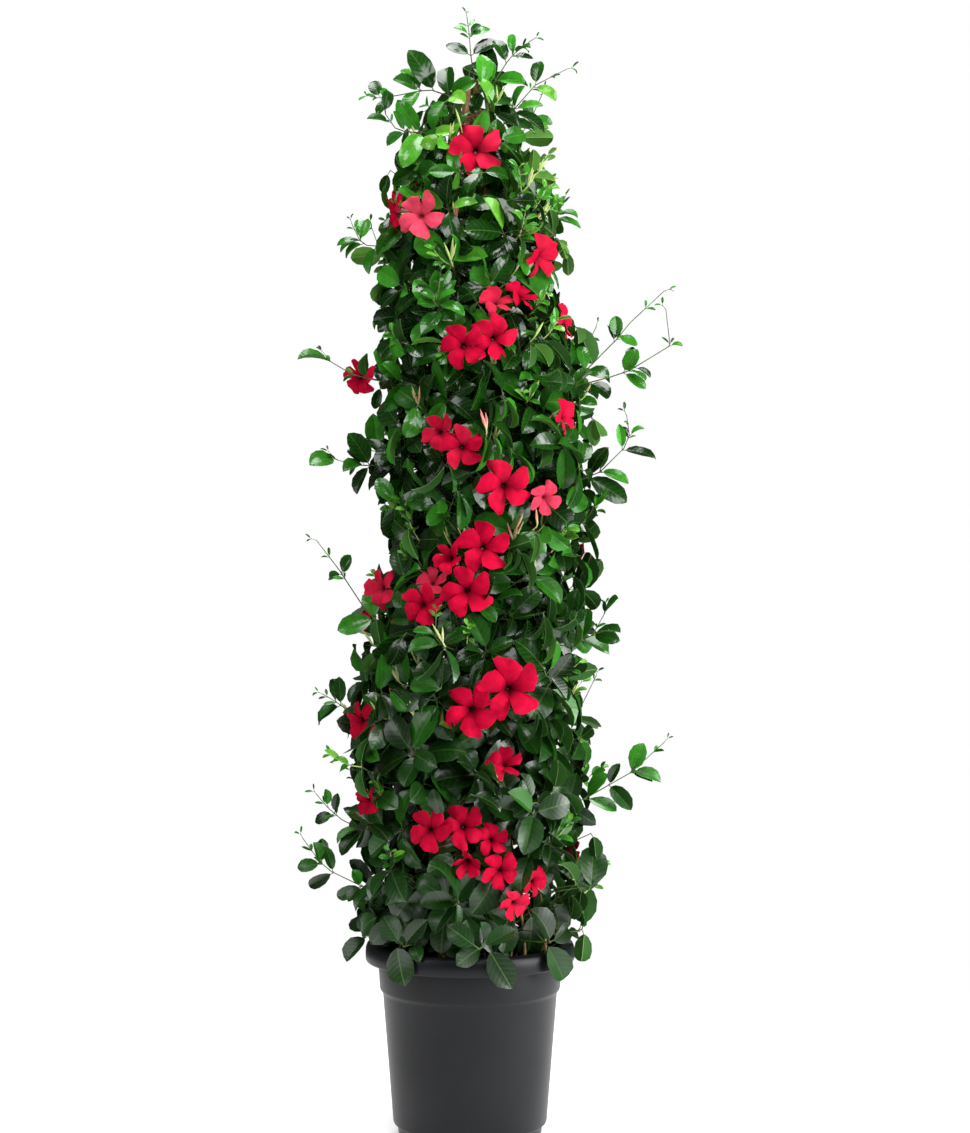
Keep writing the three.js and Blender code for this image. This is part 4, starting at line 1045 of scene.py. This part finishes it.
def hangRimLeaf(row, degrees):
    rule = rimLeaves
    for attempt in range(rule["tries"]):
        angle = math.radians(degrees + dice.uniform(-rule["stray"], rule["stray"]) * attempt)
        outward = aimed(angle)
        source, neck = (outward * reach + zUp * height for reach, height in (row["joint"], row["neck"]))
        starts = [(stemPoint(vine, source.z - rule["stemDrop"]), vine) for vine in vines.values()]
        start, vine = min(starts, key=lambda found: (found[0] - source).length)
        sideways = zUp.cross(outward) * dice.uniform(-rule["swing"], rule["swing"])
        heading = (outward * row["outwards"] - zUp + sideways).normalized()
        facing = outward + zUp * rule["faceUp"] - rule["front"] * (outward.y < rule["frontFrom"])
        length = between(row["length"])
        blade = newBlade(source, neck, heading, facing, length, rule["slimness"], rule["curl"])
        if placeLeaf(vine, blade):
            halfWay = start.lerp(source, 0.5) + zUp * rule["rise"]
            vine["twigs"].append(bentRod(start, halfWay, source, growth["twigRadius"], rule["taper"]))
            return True
    return False


def fillCrown():
    for row in rimRows:
        print("hung at the rim:", [degrees for degrees in row["degrees"] if hangRimLeaf(row, degrees)])
    for vine in vines.values():
        for twig in list(vine["twigs"]):
            start, end = twig[0][0], twig[-1][0]
            way = (end - start).normalized()
            for share in growth["frameTwigPairs"]:
                lead = between(growth["lead"])
                for turn in (90, -90):
                    growLeaf(vine, start.lerp(end, share), way, math.radians(lead + turn))
    print("pairs along the twigs:", len(crown["trees"]), "leaves")
    # a skirt of leaves that hang over the rim
    for i in range(growth["skirt"]):
        angle = 2 * math.pi * i / growth["skirt"] + between(growth["skirtStray"])
        target = aimed(angle) * between(growth["skirtReach"])
        growTwig(target + zUp * between(growth["skirtHeight"]), growth["skirtLeaves"])
    for count, (least, most), leaves in growth["shells"]:
        for i in range(count):
            share = ((i + 0.5) / count) ** growth["thinUp"]
            middle, half = crownAt(growth["lowest"] + (growth["highest"] - growth["lowest"]) * share)
            angle = growth["goldenTurn"] * i + between(growth["stray"])
            target = middle + aimed(angle) * half * dice.uniform(least, most)
            if roomAt(target) > growth["crowded"]:
                growTwig(target, leaves)
        print("shell to", most, ":", len(crown["trees"]), "leaves")
    for number, grid in enumerate(growth["grids"]):
        found = 0
        for side in range(growth["sides"]):
            found += closeGaps(2 * math.pi * (side + 0.5 * number) / growth["sides"] - math.pi / 2, grid)
        print("gaps closed:", found, "->", len(crown["trees"]), "leaves")
    found = closeGaps(-math.pi / 2, growth["grids"][-1])
    print("gaps closed at the front:", found, "->", len(crown["trees"]), "leaves")


sprays = {
    "shares": (0.12, 0.27, 0.42, 0.57), "length": (44 * mm, 64 * mm), "slimness": (0.48, 0.64),
    "least": 90 * mm, "petiole": 5 * mm, "curl": (10, 50),
    # leaves get smaller outwards, by the share they stand at
    "shrinkFrom": 1.15,
    # how far they roll round the shoot and point along it, and how they face, to the front or the back
    "roll": (-0.8, 0.8), "ahead": (0.3, 1.0), "middle": 20 * mm, "aside": (-0.5, 0.5), "up": (0.2, 1.2),
}


def alongRod(rod, share):
    # the point and the direction at a share of the way along a rod
    reach = share * (len(rod) - 1)
    step = min(int(reach), len(rod) - 2)
    start, end = rod[step][0], rod[step + 1][0]
    return start.lerp(end, reach - step), (end - start).normalized()


def growSprays(vine):
    # pairs of half-grown leaves on the inner half of each long shoot
    rule = sprays
    for shoot in vine["shoots"]:
        if (shoot[-1][0] - shoot[0][0]).length < rule["least"]:
            continue
        for share in rule["shares"]:
            place, along = alongRod(shoot, share)
            across = along.cross(Vector((0, 1, 0))).normalized()
            for side in (-1, 1):
                lateral = Matrix.Rotation(between(rule["roll"]), 3, along) @ across * side
                heading = (along * between(rule["ahead"]) + lateral).normalized()
                length = between(rule["length"]) * (rule["shrinkFrom"] - share)
                frontOrBack = math.copysign(1, place.y - rule["middle"])
                facing = Vector((between(rule["aside"]), frontOrBack, between(rule["up"])))
                neck = place + heading * rule["petiole"]
                blade = newBlade(place, neck, heading, facing, length, rule["slimness"], rule["curl"])
                if not hidesBloom(stripPlaces(blade)):
                    placeLeaf(vine, blade)


for vine in vines.values():
    growSprays(vine)
print("sprays:", len(crown["trees"]), "leaves")
fillCrown()


toneRule = {
    "plain": (0.06, 0.62), "young": (0.35, 0.78), "heights": (0.3, 1.4), "byHeight": (0.7, 1.55),
    # painted shade: a leaf at the crown's middle keeps the first share of its tone below the first height and
    # the second share above the second height, and more the further out it lies, up to all of it at the
    # crown's edge
    "topHeights": (1.15, 1.4), "paintedShadeInside": (0.25, 0.8),
}
# the tiny leaves at the tips of the long shoots, and short shoots that some twigs end in
tipLeaves = {
    "length": (10 * mm, 17 * mm), "slimness": (0.3, 0.42), "places": (0.55, 0.78, 1.0), "tone": (0.4, 0.8),
}
newShoots = {
    "every": 7, "first": 3, "lowest": 0.33, "outermost": 0.75, "height": (28 * mm, 52 * mm),
    "out": (0.5, 1.1), "up": (0.3, 1.1), "aside": (-0.8, 0.8),
    "radius": 0.9 * mm, "taper": (0.8, 0.5), "sag": 0.1, "spare": 1.35,
    "length": (14 * mm, 27 * mm), "slimness": (0.4, 0.54), "places": (0.4, 0.7, 1.0), "tone": (0.6, 1.0),
}
# how these leaves point along their shoot, how large the last pair is, and how they face and curl
smallPairs = {"ahead": (0.7, 1.6), "lastSize": 0.7, "up": 0.8, "petiole": 2.5 * mm, "curl": (10, 50)}
spikes = {
    "every": 6, "lowest": 0.55, "length": (18 * mm, 34 * mm), "radius": 1.9 * mm, "inEach": (1, 4),
    "footOut": 14 * mm, "footUp": 6 * mm, "out": (0.3, 0.9), "aside": (-0.5, 0.5),
    # shares of the radius, and of the length from the foot on
    "bulge": [(0.45, 0), (1, 0.45), (0.6, 0.8), (0.12, 1)],
}


def toneOf(blade):
    # young leaves are lightest and those low down darker; leaves deep inside the crown are darkened further
    # as painted shade, most of all below its top
    if blade["young"]:
        return between(blade.get("tone", toneRule["young"]))
    away, half = awayFrom(Vector(bladeMiddle(blade)))
    height = bladeMiddle(blade)[2]
    depth = min(away.length / half, 1)
    tone = between(toneRule["plain"]) * np.interp(height, toneRule["heights"], toneRule["byHeight"])
    # painted shade: the nearer a leaf lies to the crown's middle, the darker its colour
    inside = np.interp(height, toneRule["topHeights"], toneRule["paintedShadeInside"])
    return tone * (inside + (1 - inside) * depth)


# rods: the frame's ones are thicker than the living ones. A petiole starts this deep inside its twig,
# sags, and ends inside the rib.
rods = {
    "thinner": 0.8, "thickest": 1.25 * mm, "petiole": 0.75 * mm, "into": 1.2 * mm, "sag": 0.4 * mm,
    "intoBlade": 0.06, "rib": 0.8 * mm, "foot": 1.25, "tip": 0.7,
}


def thinned(rod):
    return [(point, min(radius * rods["thinner"], rods["thickest"])) for point, radius in rod]


def petioleRod(blade):
    start, neck = blade["source"], blade["neck"]
    foot = start - (neck - start).normalized() * rods["into"]
    tip = neck + blade["along"] * rods["intoBlade"] * blade["length"] - blade["up"] * rods["rib"]
    thin = rods["petiole"] * math.sqrt(blade["length"] / leafShape["length"])
    halfWay = (start + neck) / 2 - zUp * rods["sag"]
    return [(foot, thin * rods["foot"]), (halfWay, thin), (tip, thin * rods["tip"])]


def growPairs(vine, rod, rule):
    # tiny leaves in pairs along a young shoot and at its tip
    pair = smallPairs
    for share in rule["places"]:
        place, along = alongRod(rod, share)
        aside = along.orthogonal().normalized()
        lead = dice.uniform(0, math.pi)
        for half in (0, math.pi):
            lateral = Matrix.Rotation(lead + half, 3, along) @ aside
            heading = (along * between(pair["ahead"]) + lateral).normalized()
            length = between(rule["length"]) * (pair["lastSize"] if share == 1 else 1)
            facing = Vector((0, math.copysign(1, place.y), pair["up"]))
            neck = place + heading * pair["petiole"]
            blade = newBlade(place, neck, heading, facing, length, rule["slimness"], pair["curl"], young=True)
            vine["blades"].append({**blade, "tone": rule["tone"]})


def inFrame(place):
    low, high = cadBox
    return all(low[axis] < place[axis] < high[axis] for axis in range(3))


def hidesWay(root, way):
    return hidesBloom(np.array([root + way * share for share in (0, 0.5, 1)]))


def growNewShoots(vine):
    # short pale shoots with bright small leaves that stand out of the crown's surface
    rule = newShoots
    for twig in vine["twigs"][rule["first"]::rule["every"]]:
        root = twig[-1][0]
        away, half = awayFrom(root)
        if root.z < rule["lowest"] or away.length < rule["outermost"] * half:
            continue
        outward = away.normalized()
        lean = outward * between(rule["out"]) + zUp * between(rule["up"])
        lean += zUp.cross(outward) * between(rule["aside"])
        way = lean.normalized() * between(rule["height"])
        # its tip leaves reach beyond its end
        if not inFrame(root + way * rule["spare"]) or hidesWay(root, way):
            continue
        halfWay = root + way * 0.5 - zUp * rule["sag"] * way.length
        rod = bentRod(root, halfWay, root + way, rule["radius"], rule["taper"])
        vine["buds"].append(rod)
        growPairs(vine, rod, rule)


def growSpikes(vine):
    # slender pale flower buds that stand up from the ends of some twigs
    rule = spikes
    tall = [twig for twig in vine["twigs"] if twig[-1][0].z > rule["lowest"]]
    for twig in tall[::rule["every"]]:
        root = twig[-1][0]
        outward = awayFrom(root)[0].normalized()
        foot = root + outward * rule["footOut"] + zUp * rule["footUp"]
        for number in range(dice.randint(*rule["inEach"])):
            lean = outward * between(rule["out"]) + zUp
            lean += zUp.cross(outward) * between(rule["aside"])
            way = lean.normalized() * between(rule["length"])
            if not hidesWay(foot, way):
                bulge = [(foot + way * share, thick * rule["radius"]) for thick, share in rule["bulge"]]
                vine["buds"].append([(root, rule["radius"] / 2), *bulge])


def growBareStem(path):
    points = [Vector(point) * mm for point in path]
    height = points[-1].z + bareStems["joinAbove"]
    vine = min(vines.values(), key=lambda vine: (stemPoint(vine, height) - points[-1]).length)
    points.append(stemPoint(vine, height))
    vine["bare"].append([
        (point, bareStems["foot"] - bareStems["thinner"] * i) for i, point in enumerate(points)])


for vine in vines.values():
    vine["bare"] = []
for path in bareStems["paths"]:
    growBareStem(path)
for node, vine in vines.items():
    for shoot in vine["shoots"]:
        growPairs(vine, shoot, tipLeaves)
    growNewShoots(vine)
    growSpikes(vine)
    parts = [(leaf, layLeaf(blade), toneOf(blade)) for blade in vine["blades"]]
    finishPiece(joinParts(f"{node}_leaves", parts), [leafTop, leafUnder], "foliage", node)
    wood = drawRods(f"{node}_stem", [vine["stem"]] + vine["bare"], 3, 3)
    finishPiece(wood, [bark], "foliage", node)
    slim = [thinned(rod) for rod in vine["twigs"] + vine["stalks"] + vine["shoots"]]
    soft = drawRods(f"{node}_stalks", slim + [petioleRod(blade) for blade in vine["blades"]], 1, 1)
    finishPiece(soft, [greenStem], "foliage", node)
    finishPiece(drawRods(f"{node}_buds", vine["buds"], 2, 4), [budSkin], "foliage", node)
    print(node, "dressed:", len(vine["blades"]), "leaves,", len(vine["twigs"]), "twigs")


# In shares of a bloom's width.
flowerShape = {
    "petalFrom": 0.05, "petalTo": 0.49, "petalWidth": 0.425, "thickness": 0.009, "across": 6,
    "outline": [
        (0, 0.26), (0.14, 0.46), (0.3, 0.64), (0.47, 0.79), (0.64, 0.91), (0.8, 0.98), (0.92, 1), (1, 0.93)],
    # how far each of the far margin's corners stands beyond the straight edge, side to side, and how
    # near to its place a corner is looked for
    "margin": [-0.115, -0.032, -0.002, 0.008, 0.02, 0.036, -0.015], "near": 1e-4,
    # the petals' ramp of colours starts with the throat: how fast it rises there, from which height on,
    # and where on it the petals start
    "rampRise": 0.26 / 0.24, "rampFrom": -0.3, "rampPetal": 0.25,
    "bowl": 0.16, "ruffle": 0.03, "ruffles": 5, "phase": (0, 6.28), "sway": 0.09, "breadth": (0.86, 1.08),
    # how strong each of these bends is, and between which shares of that the petals differ
    "pinwheel": (0.07, 0.5, 1.5), "rollBack": (0.1, -0.5, 1.5), "bulge": (0.04, -0.8, 1.4),
    "tuck": (0.06, -0.6, 1.4), "skew": (0.06, 0.2, 1.6),
    # the pinwheel comes in this fast along the petal
    "fan": 1.6,
    # radius and height of the throat: up the outside, then down the inside
    "throat": [
        (0.03, -0.42), (0.033, -0.34), (0.042, -0.27), (0.056, -0.21), (0.066, -0.17), (0.07, -0.155),
        (0.064, -0.158), (0.052, -0.19), (0.036, -0.235), (0.02, -0.28)],
    "calyx": [(0.018, -0.455), (0.036, -0.435), (0.046, -0.4), (0.042, -0.37), (0.028, -0.365)],
    "throatSides": 15, "calyxSides": 8,
}


def makePetal():
    shape = flowerShape
    length = shape["petalTo"] - shape["petalFrom"]
    sheet = shapeSheet("petal", length, shape["petalWidth"], shape["outline"], shape["across"])
    for number, offset in enumerate(shape["margin"]):
        for share, width in shape["outline"][3:]:
            part = (share - shape["outline"][2][0]) / (1 - shape["outline"][2][0])
            y = width * shape["petalWidth"] / 2 * (2 * number / shape["across"] - 1)
            choose(sheet, lambda place: math.hypot(place.y - y, place.x - length * share) < shape["near"])
            bpy.ops.transform.translate(value=(offset * part ** 2 or shape["near"] / 100, 0, 0))
    bpy.ops.mesh.select_all(action="SELECT")
    bpy.ops.transform.translate(value=(shape["petalFrom"], 0, 0))
    bpy.ops.object.mode_set(mode="OBJECT")
    first = shape["rampPetal"]
    setUv(sheet, lambda place: (
        first + (1 - first) * (place.x - shape["petalFrom"]) / length, place.y / shape["petalWidth"] + 0.5))
    return thickened(sheet, shape["thickness"], 0, petalTop, petalUnder)


def makeThroat():
    shape = flowerShape
    body = growTower("throat", upright(shape["throat"]), shape["throatSides"])
    setUv(body, lambda place: (max(shape["rampRise"] * (place.z - shape["rampFrom"]), 0), 0.5))
    for face in body.data.polygons:
        middle = face.center
        face.material_index = int(face.normal.x * middle.x + face.normal.y * middle.y > 0)
    return asTemplate(body)


def makeCalyx():
    body = growTower("calyx", upright(flowerShape["calyx"]), flowerShape["calyxSides"])
    setUv(body, lambda place: (0.5, 0.5))
    for face in body.data.polygons:
        face.material_index = 2
    return asTemplate(body)


def bloomPlaces(bloom, points):
    # from the flower's own frame, in shares of its width, to its place on the plant
    facing, petal = np.array(bloom["facing"]), np.array(bloom["petal"])
    aside = np.cross(facing, petal)
    reach = np.hypot(points[:, 0], points[:, 1])
    spread = math.cos(bloom["closed"])
    lift = points[:, 2] + (reach - bloomRule["hinge"]) * math.sin(bloom["closed"])
    local = (points[:, :1] * petal + points[:, 1:2] * aside) * spread + lift[:, None] * facing
    return np.array(bloom["centre"]) + bloom["width"] * local


def differing(bend):
    strength, least, most = flowerShape[bend]
    return strength * dice.uniform(least, most)


def layPetal(number):
    # no two petals ruffle, roll back or lean over their neighbour alike
    shape, points = flowerShape, petal["points"].copy()
    share = (points[:, 0] - shape["petalFrom"]) / (shape["petalTo"] - shape["petalFrom"])
    # the margin's middle stands a little beyond the far end
    share = np.clip(share, 0, 1.1)
    within = np.clip(share, 0, 1)
    out = points[:, 1] / (shape["petalWidth"] / 2)
    lift = -shape["bowl"] * (1 - within) ** 3
    lift -= differing("pinwheel") * out * np.clip(shape["fan"] * share, 0, 1)
    lift += shape["ruffle"] * np.sin(shape["ruffles"] * out + between(shape["phase"])) * share ** 2
    lift -= differing("rollBack") * share ** 3
    lift += differing("bulge") * (1 - out ** 2) * np.sin(math.pi * within)
    lift -= differing("tuck") * np.abs(out) ** 3 * share
    points[:, 1] *= 1 + (between(shape["breadth"]) - 1) * within
    points[:, 1] += differing("skew") * within ** 2
    points[:, 2] += lift
    turn = 2 * math.pi * number / bloomRule["petals"] + dice.uniform(-1, 1) * shape["sway"]
    x = points[:, 0] * math.cos(turn) - points[:, 1] * math.sin(turn)
    y = points[:, 0] * math.sin(turn) + points[:, 1] * math.cos(turn)
    return np.column_stack([x, y, points[:, 2]])


petal = makePetal()
throat = makeThroat()
calyx = makeCalyx()
flowerTone = {
    # how far these have faded towards pink; the others are fresh, and darkened with painted shade the lower
    # they stand
    "faded": {
        "bloom_2": 0.75, "bloom_14": 0.55, "bloom_20": 0.4, "bloom_5": 0.2, "bloom_21": 0.15,
        "bloom_33": 0.1},
    "fresh": (0, 0.12), "heights": (0.35, 0.9), "paintedShadeByHeight": (0.34, 0.06), "petals": (-0.06, 0.06),
}


def openFlower(node, bloom):
    rule = flowerTone
    # painted shade: the lower a flower stands, the darker its colour
    paintedShade = np.interp(bloom["centre"].z, rule["heights"], rule["paintedShadeByHeight"])
    tone = rule["faded"].get(node, between(rule["fresh"]) - paintedShade)
    parts = [(petal, bloomPlaces(bloom, layPetal(number)), tone + between(rule["petals"]))
             for number in range(bloomRule["petals"])]
    parts.append((throat, bloomPlaces(bloom, throat["points"]), tone))
    parts.append((calyx, bloomPlaces(bloom, calyx["points"]), 0))
    flower = joinParts(node.replace("bloom", "flower"), parts)
    finishPiece(flower, [petalTop, petalUnder, greenStem], "petal", node)


for node, bloom in blooms.items():
    openFlower(node, bloom)
print("flowers opened")


potShape = {
    "sides": 96, "bevel": 0.7 * mm, "sharp": math.radians(24),
    # drain holes: how many, their radius, how far from the axis, and from where to where they are drilled
    "drainHoles": 6, "drainRadius": 6 * mm, "drainCircle": 68 * mm, "drill": (-2 * mm, 9 * mm),
    "drillSides": 20,
    # radius and height in mm: up the outside, over the rim and down the inside
    "profile": [
        (98, 0), (102, 2), (103.4, 6), (104, 14), (106, 16.4), (109.6, 18.6), (110.6, 21), (118, 112),
        (125.4, 203.5), (126.4, 206.6), (129.4, 210.2), (130.2, 213.6), (132, 250), (132.6, 267.6),
        (134, 269), (144.6, 269), (146, 267.6), (146.4, 252.6), (147.4, 251.2), (149.2, 251.8),
        (150.2, 254), (150.4, 264), (150, 270), (148.4, 274.4), (146, 276.8), (143, 277.5), (136, 277.3),
        (132, 276.2), (129.8, 273), (129, 250), (127, 216), (122.5, 204), (115, 112), (107, 20), (97, 5)],
}


def makePot():
    shape = potShape
    body = growTower("pot_shell", upright(shape["profile"], mm), shape["sides"])
    for number in range(shape["drainHoles"]):
        place = aimed(2 * math.pi * number / shape["drainHoles"]) * shape["drainCircle"]
        ends = [(place.x, place.y, height, shape["drainRadius"]) for height in shape["drill"]]
        drill = growTower("drill", ends, shape["drillSides"])
        pick(body)
        addModifier(body, "BOOLEAN", object=drill, operation="DIFFERENCE", solver="EXACT")
        applyModifiers(body)
        bpy.data.objects.remove(drill)
    addModifier(
        body, "BEVEL", width=shape["bevel"], segments=2, limit_method="ANGLE", angle_limit=shape["sharp"])
    applyModifiers(body)
    smooth(body, 35)
    finishPiece(body, [potPlastic], "pot", "pot")


makePot()


soilShape = {
    # in mm: radius and height up the wall, then the radii of the surface's rings. The surface is level
    # at the wall and has its full bumps this far in.
    "wall": [(96.6, 5.4), (106.6, 20.4), (122.1, 204.4), (126.6, 216.4), (128.6, 250)],
    "rings": [122, 114, 105, 94, 82, 69, 55, 41, 27, 14, 5], "sides": 72,
    "level": 250, "bump": 5.0, "bumpScale": 1 / 0.028, "levelRim": 12 * mm,
}
# crumbs of bark and peat: how ragged and how flat they are, how far out they lie and how large they are
# in mm, shrunk by one more share, and how high their middles stand as a share of their size
crumbShape = {
    "count": 420, "ragged": 0.25, "flat": (1.25, 0.9, 0.7), "reach": 126, "radius": (1.2, 4.2),
    "shrunk": (0.5, 1), "turn": (0, 6.28), "stand": 0.2,
}


def soilHeight(x, y):
    place = Vector((x, y, 0)) * soilShape["bumpScale"]
    fade = min((soilShape["wall"][-1][0] * mm - math.hypot(x, y)) / soilShape["levelRim"], 1)
    return soilShape["level"] * mm + soilShape["bump"] * mm * noise.noise(place) * max(fade, 0)


def makeSoil():
    shape = soilShape
    profile = shape["wall"] + [(radius, shape["level"]) for radius in shape["rings"]]
    body = growTower("soil_fill", upright(profile, mm), shape["sides"])
    for corner in body.data.vertices:
        if corner.co.z > (shape["level"] - 0.5) * mm:
            corner.co.z = soilHeight(corner.co.x, corner.co.y)
    smooth(body, 50)
    finishPiece(body, [compost], "soil", "soil")


def makeCrumbs():
    shape = crumbShape
    deselect()
    bpy.ops.mesh.primitive_ico_sphere_add(subdivisions=1, radius=1)
    lump = bpy.context.object
    bpy.ops.object.mode_set(mode="EDIT")
    bpy.ops.mesh.select_all(action="SELECT")
    bpy.ops.transform.vertex_random(offset=shape["ragged"], seed=5)
    bpy.ops.transform.resize(value=shape["flat"])
    bpy.ops.object.mode_set(mode="OBJECT")
    setUv(lump, lambda place: (0.5, 0.5))
    crumb = asTemplate(lump)
    parts = []
    for number in range(shape["count"]):
        reach = shape["reach"] * mm * math.sqrt(dice.random())
        angle = dice.uniform(0, 2 * math.pi)
        x, y = reach * math.cos(angle), reach * math.sin(angle)
        size = between(shape["radius"]) * mm * between(shape["shrunk"])
        turn = between(shape["turn"])
        axis = Vector([dice.gauss(0, 1) for i in range(3)])
        turned = crumb["points"] @ np.array(Matrix.Rotation(turn, 3, axis)).T
        place = [x, y, soilHeight(x, y) + shape["stand"] * size]
        parts.append((crumb, turned * size + place, dice.random()))
    finishPiece(joinParts("soil_crumbs", parts), [compost], "soil", "soil")


makeSoil()
makeCrumbs()
print("pot filled")


caneShape = {
    "sides": 20, "radius": 4.9 * mm, "nodeStep": 190 * mm, "nodeHeight": 3 * mm, "nodeRise": 0.7 * mm,
    # across a node: places in half heights, and how far it stands out there as a share of the rise
    "node": [(-3, 0), (-1, 0.5), (0, 1), (1, 0.35), (3, -0.15), (7, 0)],
    # the first node's height on each cane from its foot, how irregular the steps are, and how far the
    # last node stays below the top
    "firstNodes": (40 * mm, 95 * mm, 150 * mm), "stray": (0.85, 1.15), "bareTop": 20 * mm,
}


def caneCentre(node):
    # the cane's own middle line by height, from the rings of corners in the frame
    rings = {}
    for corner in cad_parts[node].data.vertices:
        rings.setdefault(round(corner.co.z, 4), set()).add(tuple(round(value, 5) for value in corner.co))
    heights = sorted(rings)
    middles = [np.mean(sorted(rings[height]), axis=0) for height in heights]
    return heights, [middle[0] for middle in middles], [middle[1] for middle in middles]


def makeCane(node, first):
    shape = caneShape
    heights, xs, ys = caneCentre(node)
    stops = [(height, 0) for height in heights]
    swelling = heights[0] + first
    while swelling < heights[-1] - shape["bareTop"]:
        stops += [(swelling + offset * shape["nodeHeight"] / 2, rise) for offset, rise in shape["node"]]
        swelling += shape["nodeStep"] * between(shape["stray"])
    rings = []
    for z, rise in sorted(stops):
        x, y = np.interp(z, heights, xs), np.interp(z, heights, ys)
        rings.append((x, y, z, shape["radius"] + rise * shape["nodeRise"]))
    body = growTower(node.replace("cane", "bamboo"), rings, shape["sides"])
    smooth(body, 30)
    finishPiece(body, [bamboo], "cane", node)


for node, first in zip(nodesNamed("cane_"), caneShape["firstNodes"]):
    makeCane(node, first)


twineShape = {
    "turns": 3, "steps": 24, "radius": 1.1 * mm, "spread": 2.3 * mm, "inside": 1.6 * mm,
    # the loop goes nearly round: its angle and steps, and in mm its half width, how far it stands in
    # front of the knot, and its half height
    "loopTurn": 5.6, "loopSteps": 9, "loop": (4, 1.5, 3),
    # from the knot in mm: where each tail is halfway and at its end, to its side, back and up
    "tail": [(5, -5, -4), (9, -6, -22)], "taper": (1, 0.9),
}


def makeTie():
    # three turns of twine, and a loop and two short tails from the knot at the front
    shape = twineShape
    thick = shape["radius"]
    low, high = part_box("tie")
    centre = (low + high) / 2
    reach = (high.x - low.x) / 2 - shape["inside"]
    turns = []
    for i in range(shape["turns"] * shape["steps"] + 1):
        angle = 2 * math.pi * i / shape["steps"] - math.pi / 2
        rise = shape["spread"] * (i / shape["steps"] - shape["turns"] / 2)
        turns.append((centre + aimed(angle) * reach + zUp * rise, thick))
    knot = centre + Vector((0, -reach - thick, 0))
    wide, inFront, tall = shape["loop"]
    loop = []
    for angle in np.linspace(0, shape["loopTurn"], shape["loopSteps"]):
        across, up = math.cos(angle), math.sin(angle)
        loop.append((knot + Vector((wide * across, up - inFront, tall * up)) * mm, thick))
    cords = [turns, loop]
    for side in (-1, 1):
        halfWay, end = (knot + Vector((side * x, y, z)) * mm for x, y, z in shape["tail"])
        cords.append(bentRod(knot, halfWay, end, thick, shape["taper"]))
    finishPiece(drawRods("twine_tie", cords, 2, 2), [twine], "twine", "tie")


makeTie()
print("canes tied")


studio = {
    "floor": 1.25, "below": 0.5 * mm, "pale": 0xf4f4f4, "glow": 0.55, "surround": 0.07,
    "camera": (0.0216, -3.1, 0.817), "frameHeight": 1.634, "sensor": 36,
    # soft boxes: where each stands, the height it aims at, its width and height, and its watts
    "boxes": {
        "left": ((-2.3, -1.5, 1.6), 1.1, (0.8, 2.0), 23), "right": ((2.2, -1.5, 1.5), 1.0, (1.2, 2.2), 62),
        "front": ((0.3, -2.9, 2.4), 1.1, (1.4, 1.0), 32), "over": ((0, -0.3, 3.2), 1.0, (1.6, 1.6), 88),
        "back": ((0.5, 2.9, 2.2), 0.9, (1.8, 1.4), 44), "low": ((1.6, -0.6, 0.45), 0.2, (1.0, 0.7), 24),
    },
}


def makeFloor():
    deselect()
    bpy.ops.mesh.primitive_circle_add(
        vertices=64, radius=studio["floor"], fill_type="NGON", location=(0, 0, -studio["below"]))
    floor = bpy.context.object
    floor.name = "studio_floor"
    # matt white paper that glows a little, so that it stays white under soft light
    pale = linear(studio["pale"])
    floor.data.materials.append(newMaterial(
        "whitePaper", Base_Color=pale, Roughness=0.9, Emission_Color=pale, Emission_Strength=studio["glow"]))


def addSoftbox(name, place, aimHeight, size, watts):
    deselect()
    bpy.ops.object.light_add(type="AREA", location=place)
    lamp = bpy.context.object
    lamp.name = name
    lamp.data.shape = "RECTANGLE"
    lamp.data.size, lamp.data.size_y = size
    lamp.data.energy = watts
    lamp.rotation_euler = (zUp * aimHeight - Vector(place)).to_track_quat("-Z", "Y").to_euler()


def makeWorld():
    world = bpy.data.worlds.new("studio")
    bpy.context.scene.world = world
    world.use_nodes = True
    # the backdrop is white, while less light than that comes from it
    seen = addNode(world, "LightPath")["Is Camera Ray"]
    addNode(world, "MapRange", [seen, 0, 1, studio["surround"], 1], into="Strength")
    world.node_tree.nodes["Background"].inputs["Color"].default_value = (1, 1, 1, 1)


def makeCamera():
    place = studio["camera"]
    bpy.ops.object.camera_add(location=place, rotation=(math.pi / 2, 0, 0))
    camera = bpy.context.object
    camera.data.sensor_width = studio["sensor"]
    camera.data.lens = studio["sensor"] * -place[1] / studio["frameHeight"]
    bpy.context.scene.camera = camera


makeFloor()
for name, box in studio["boxes"].items():
    addSoftbox(name, *box)
makeWorld()
makeCamera()
bpy.context.scene.view_settings.view_transform = "Standard"
print("studio ready")
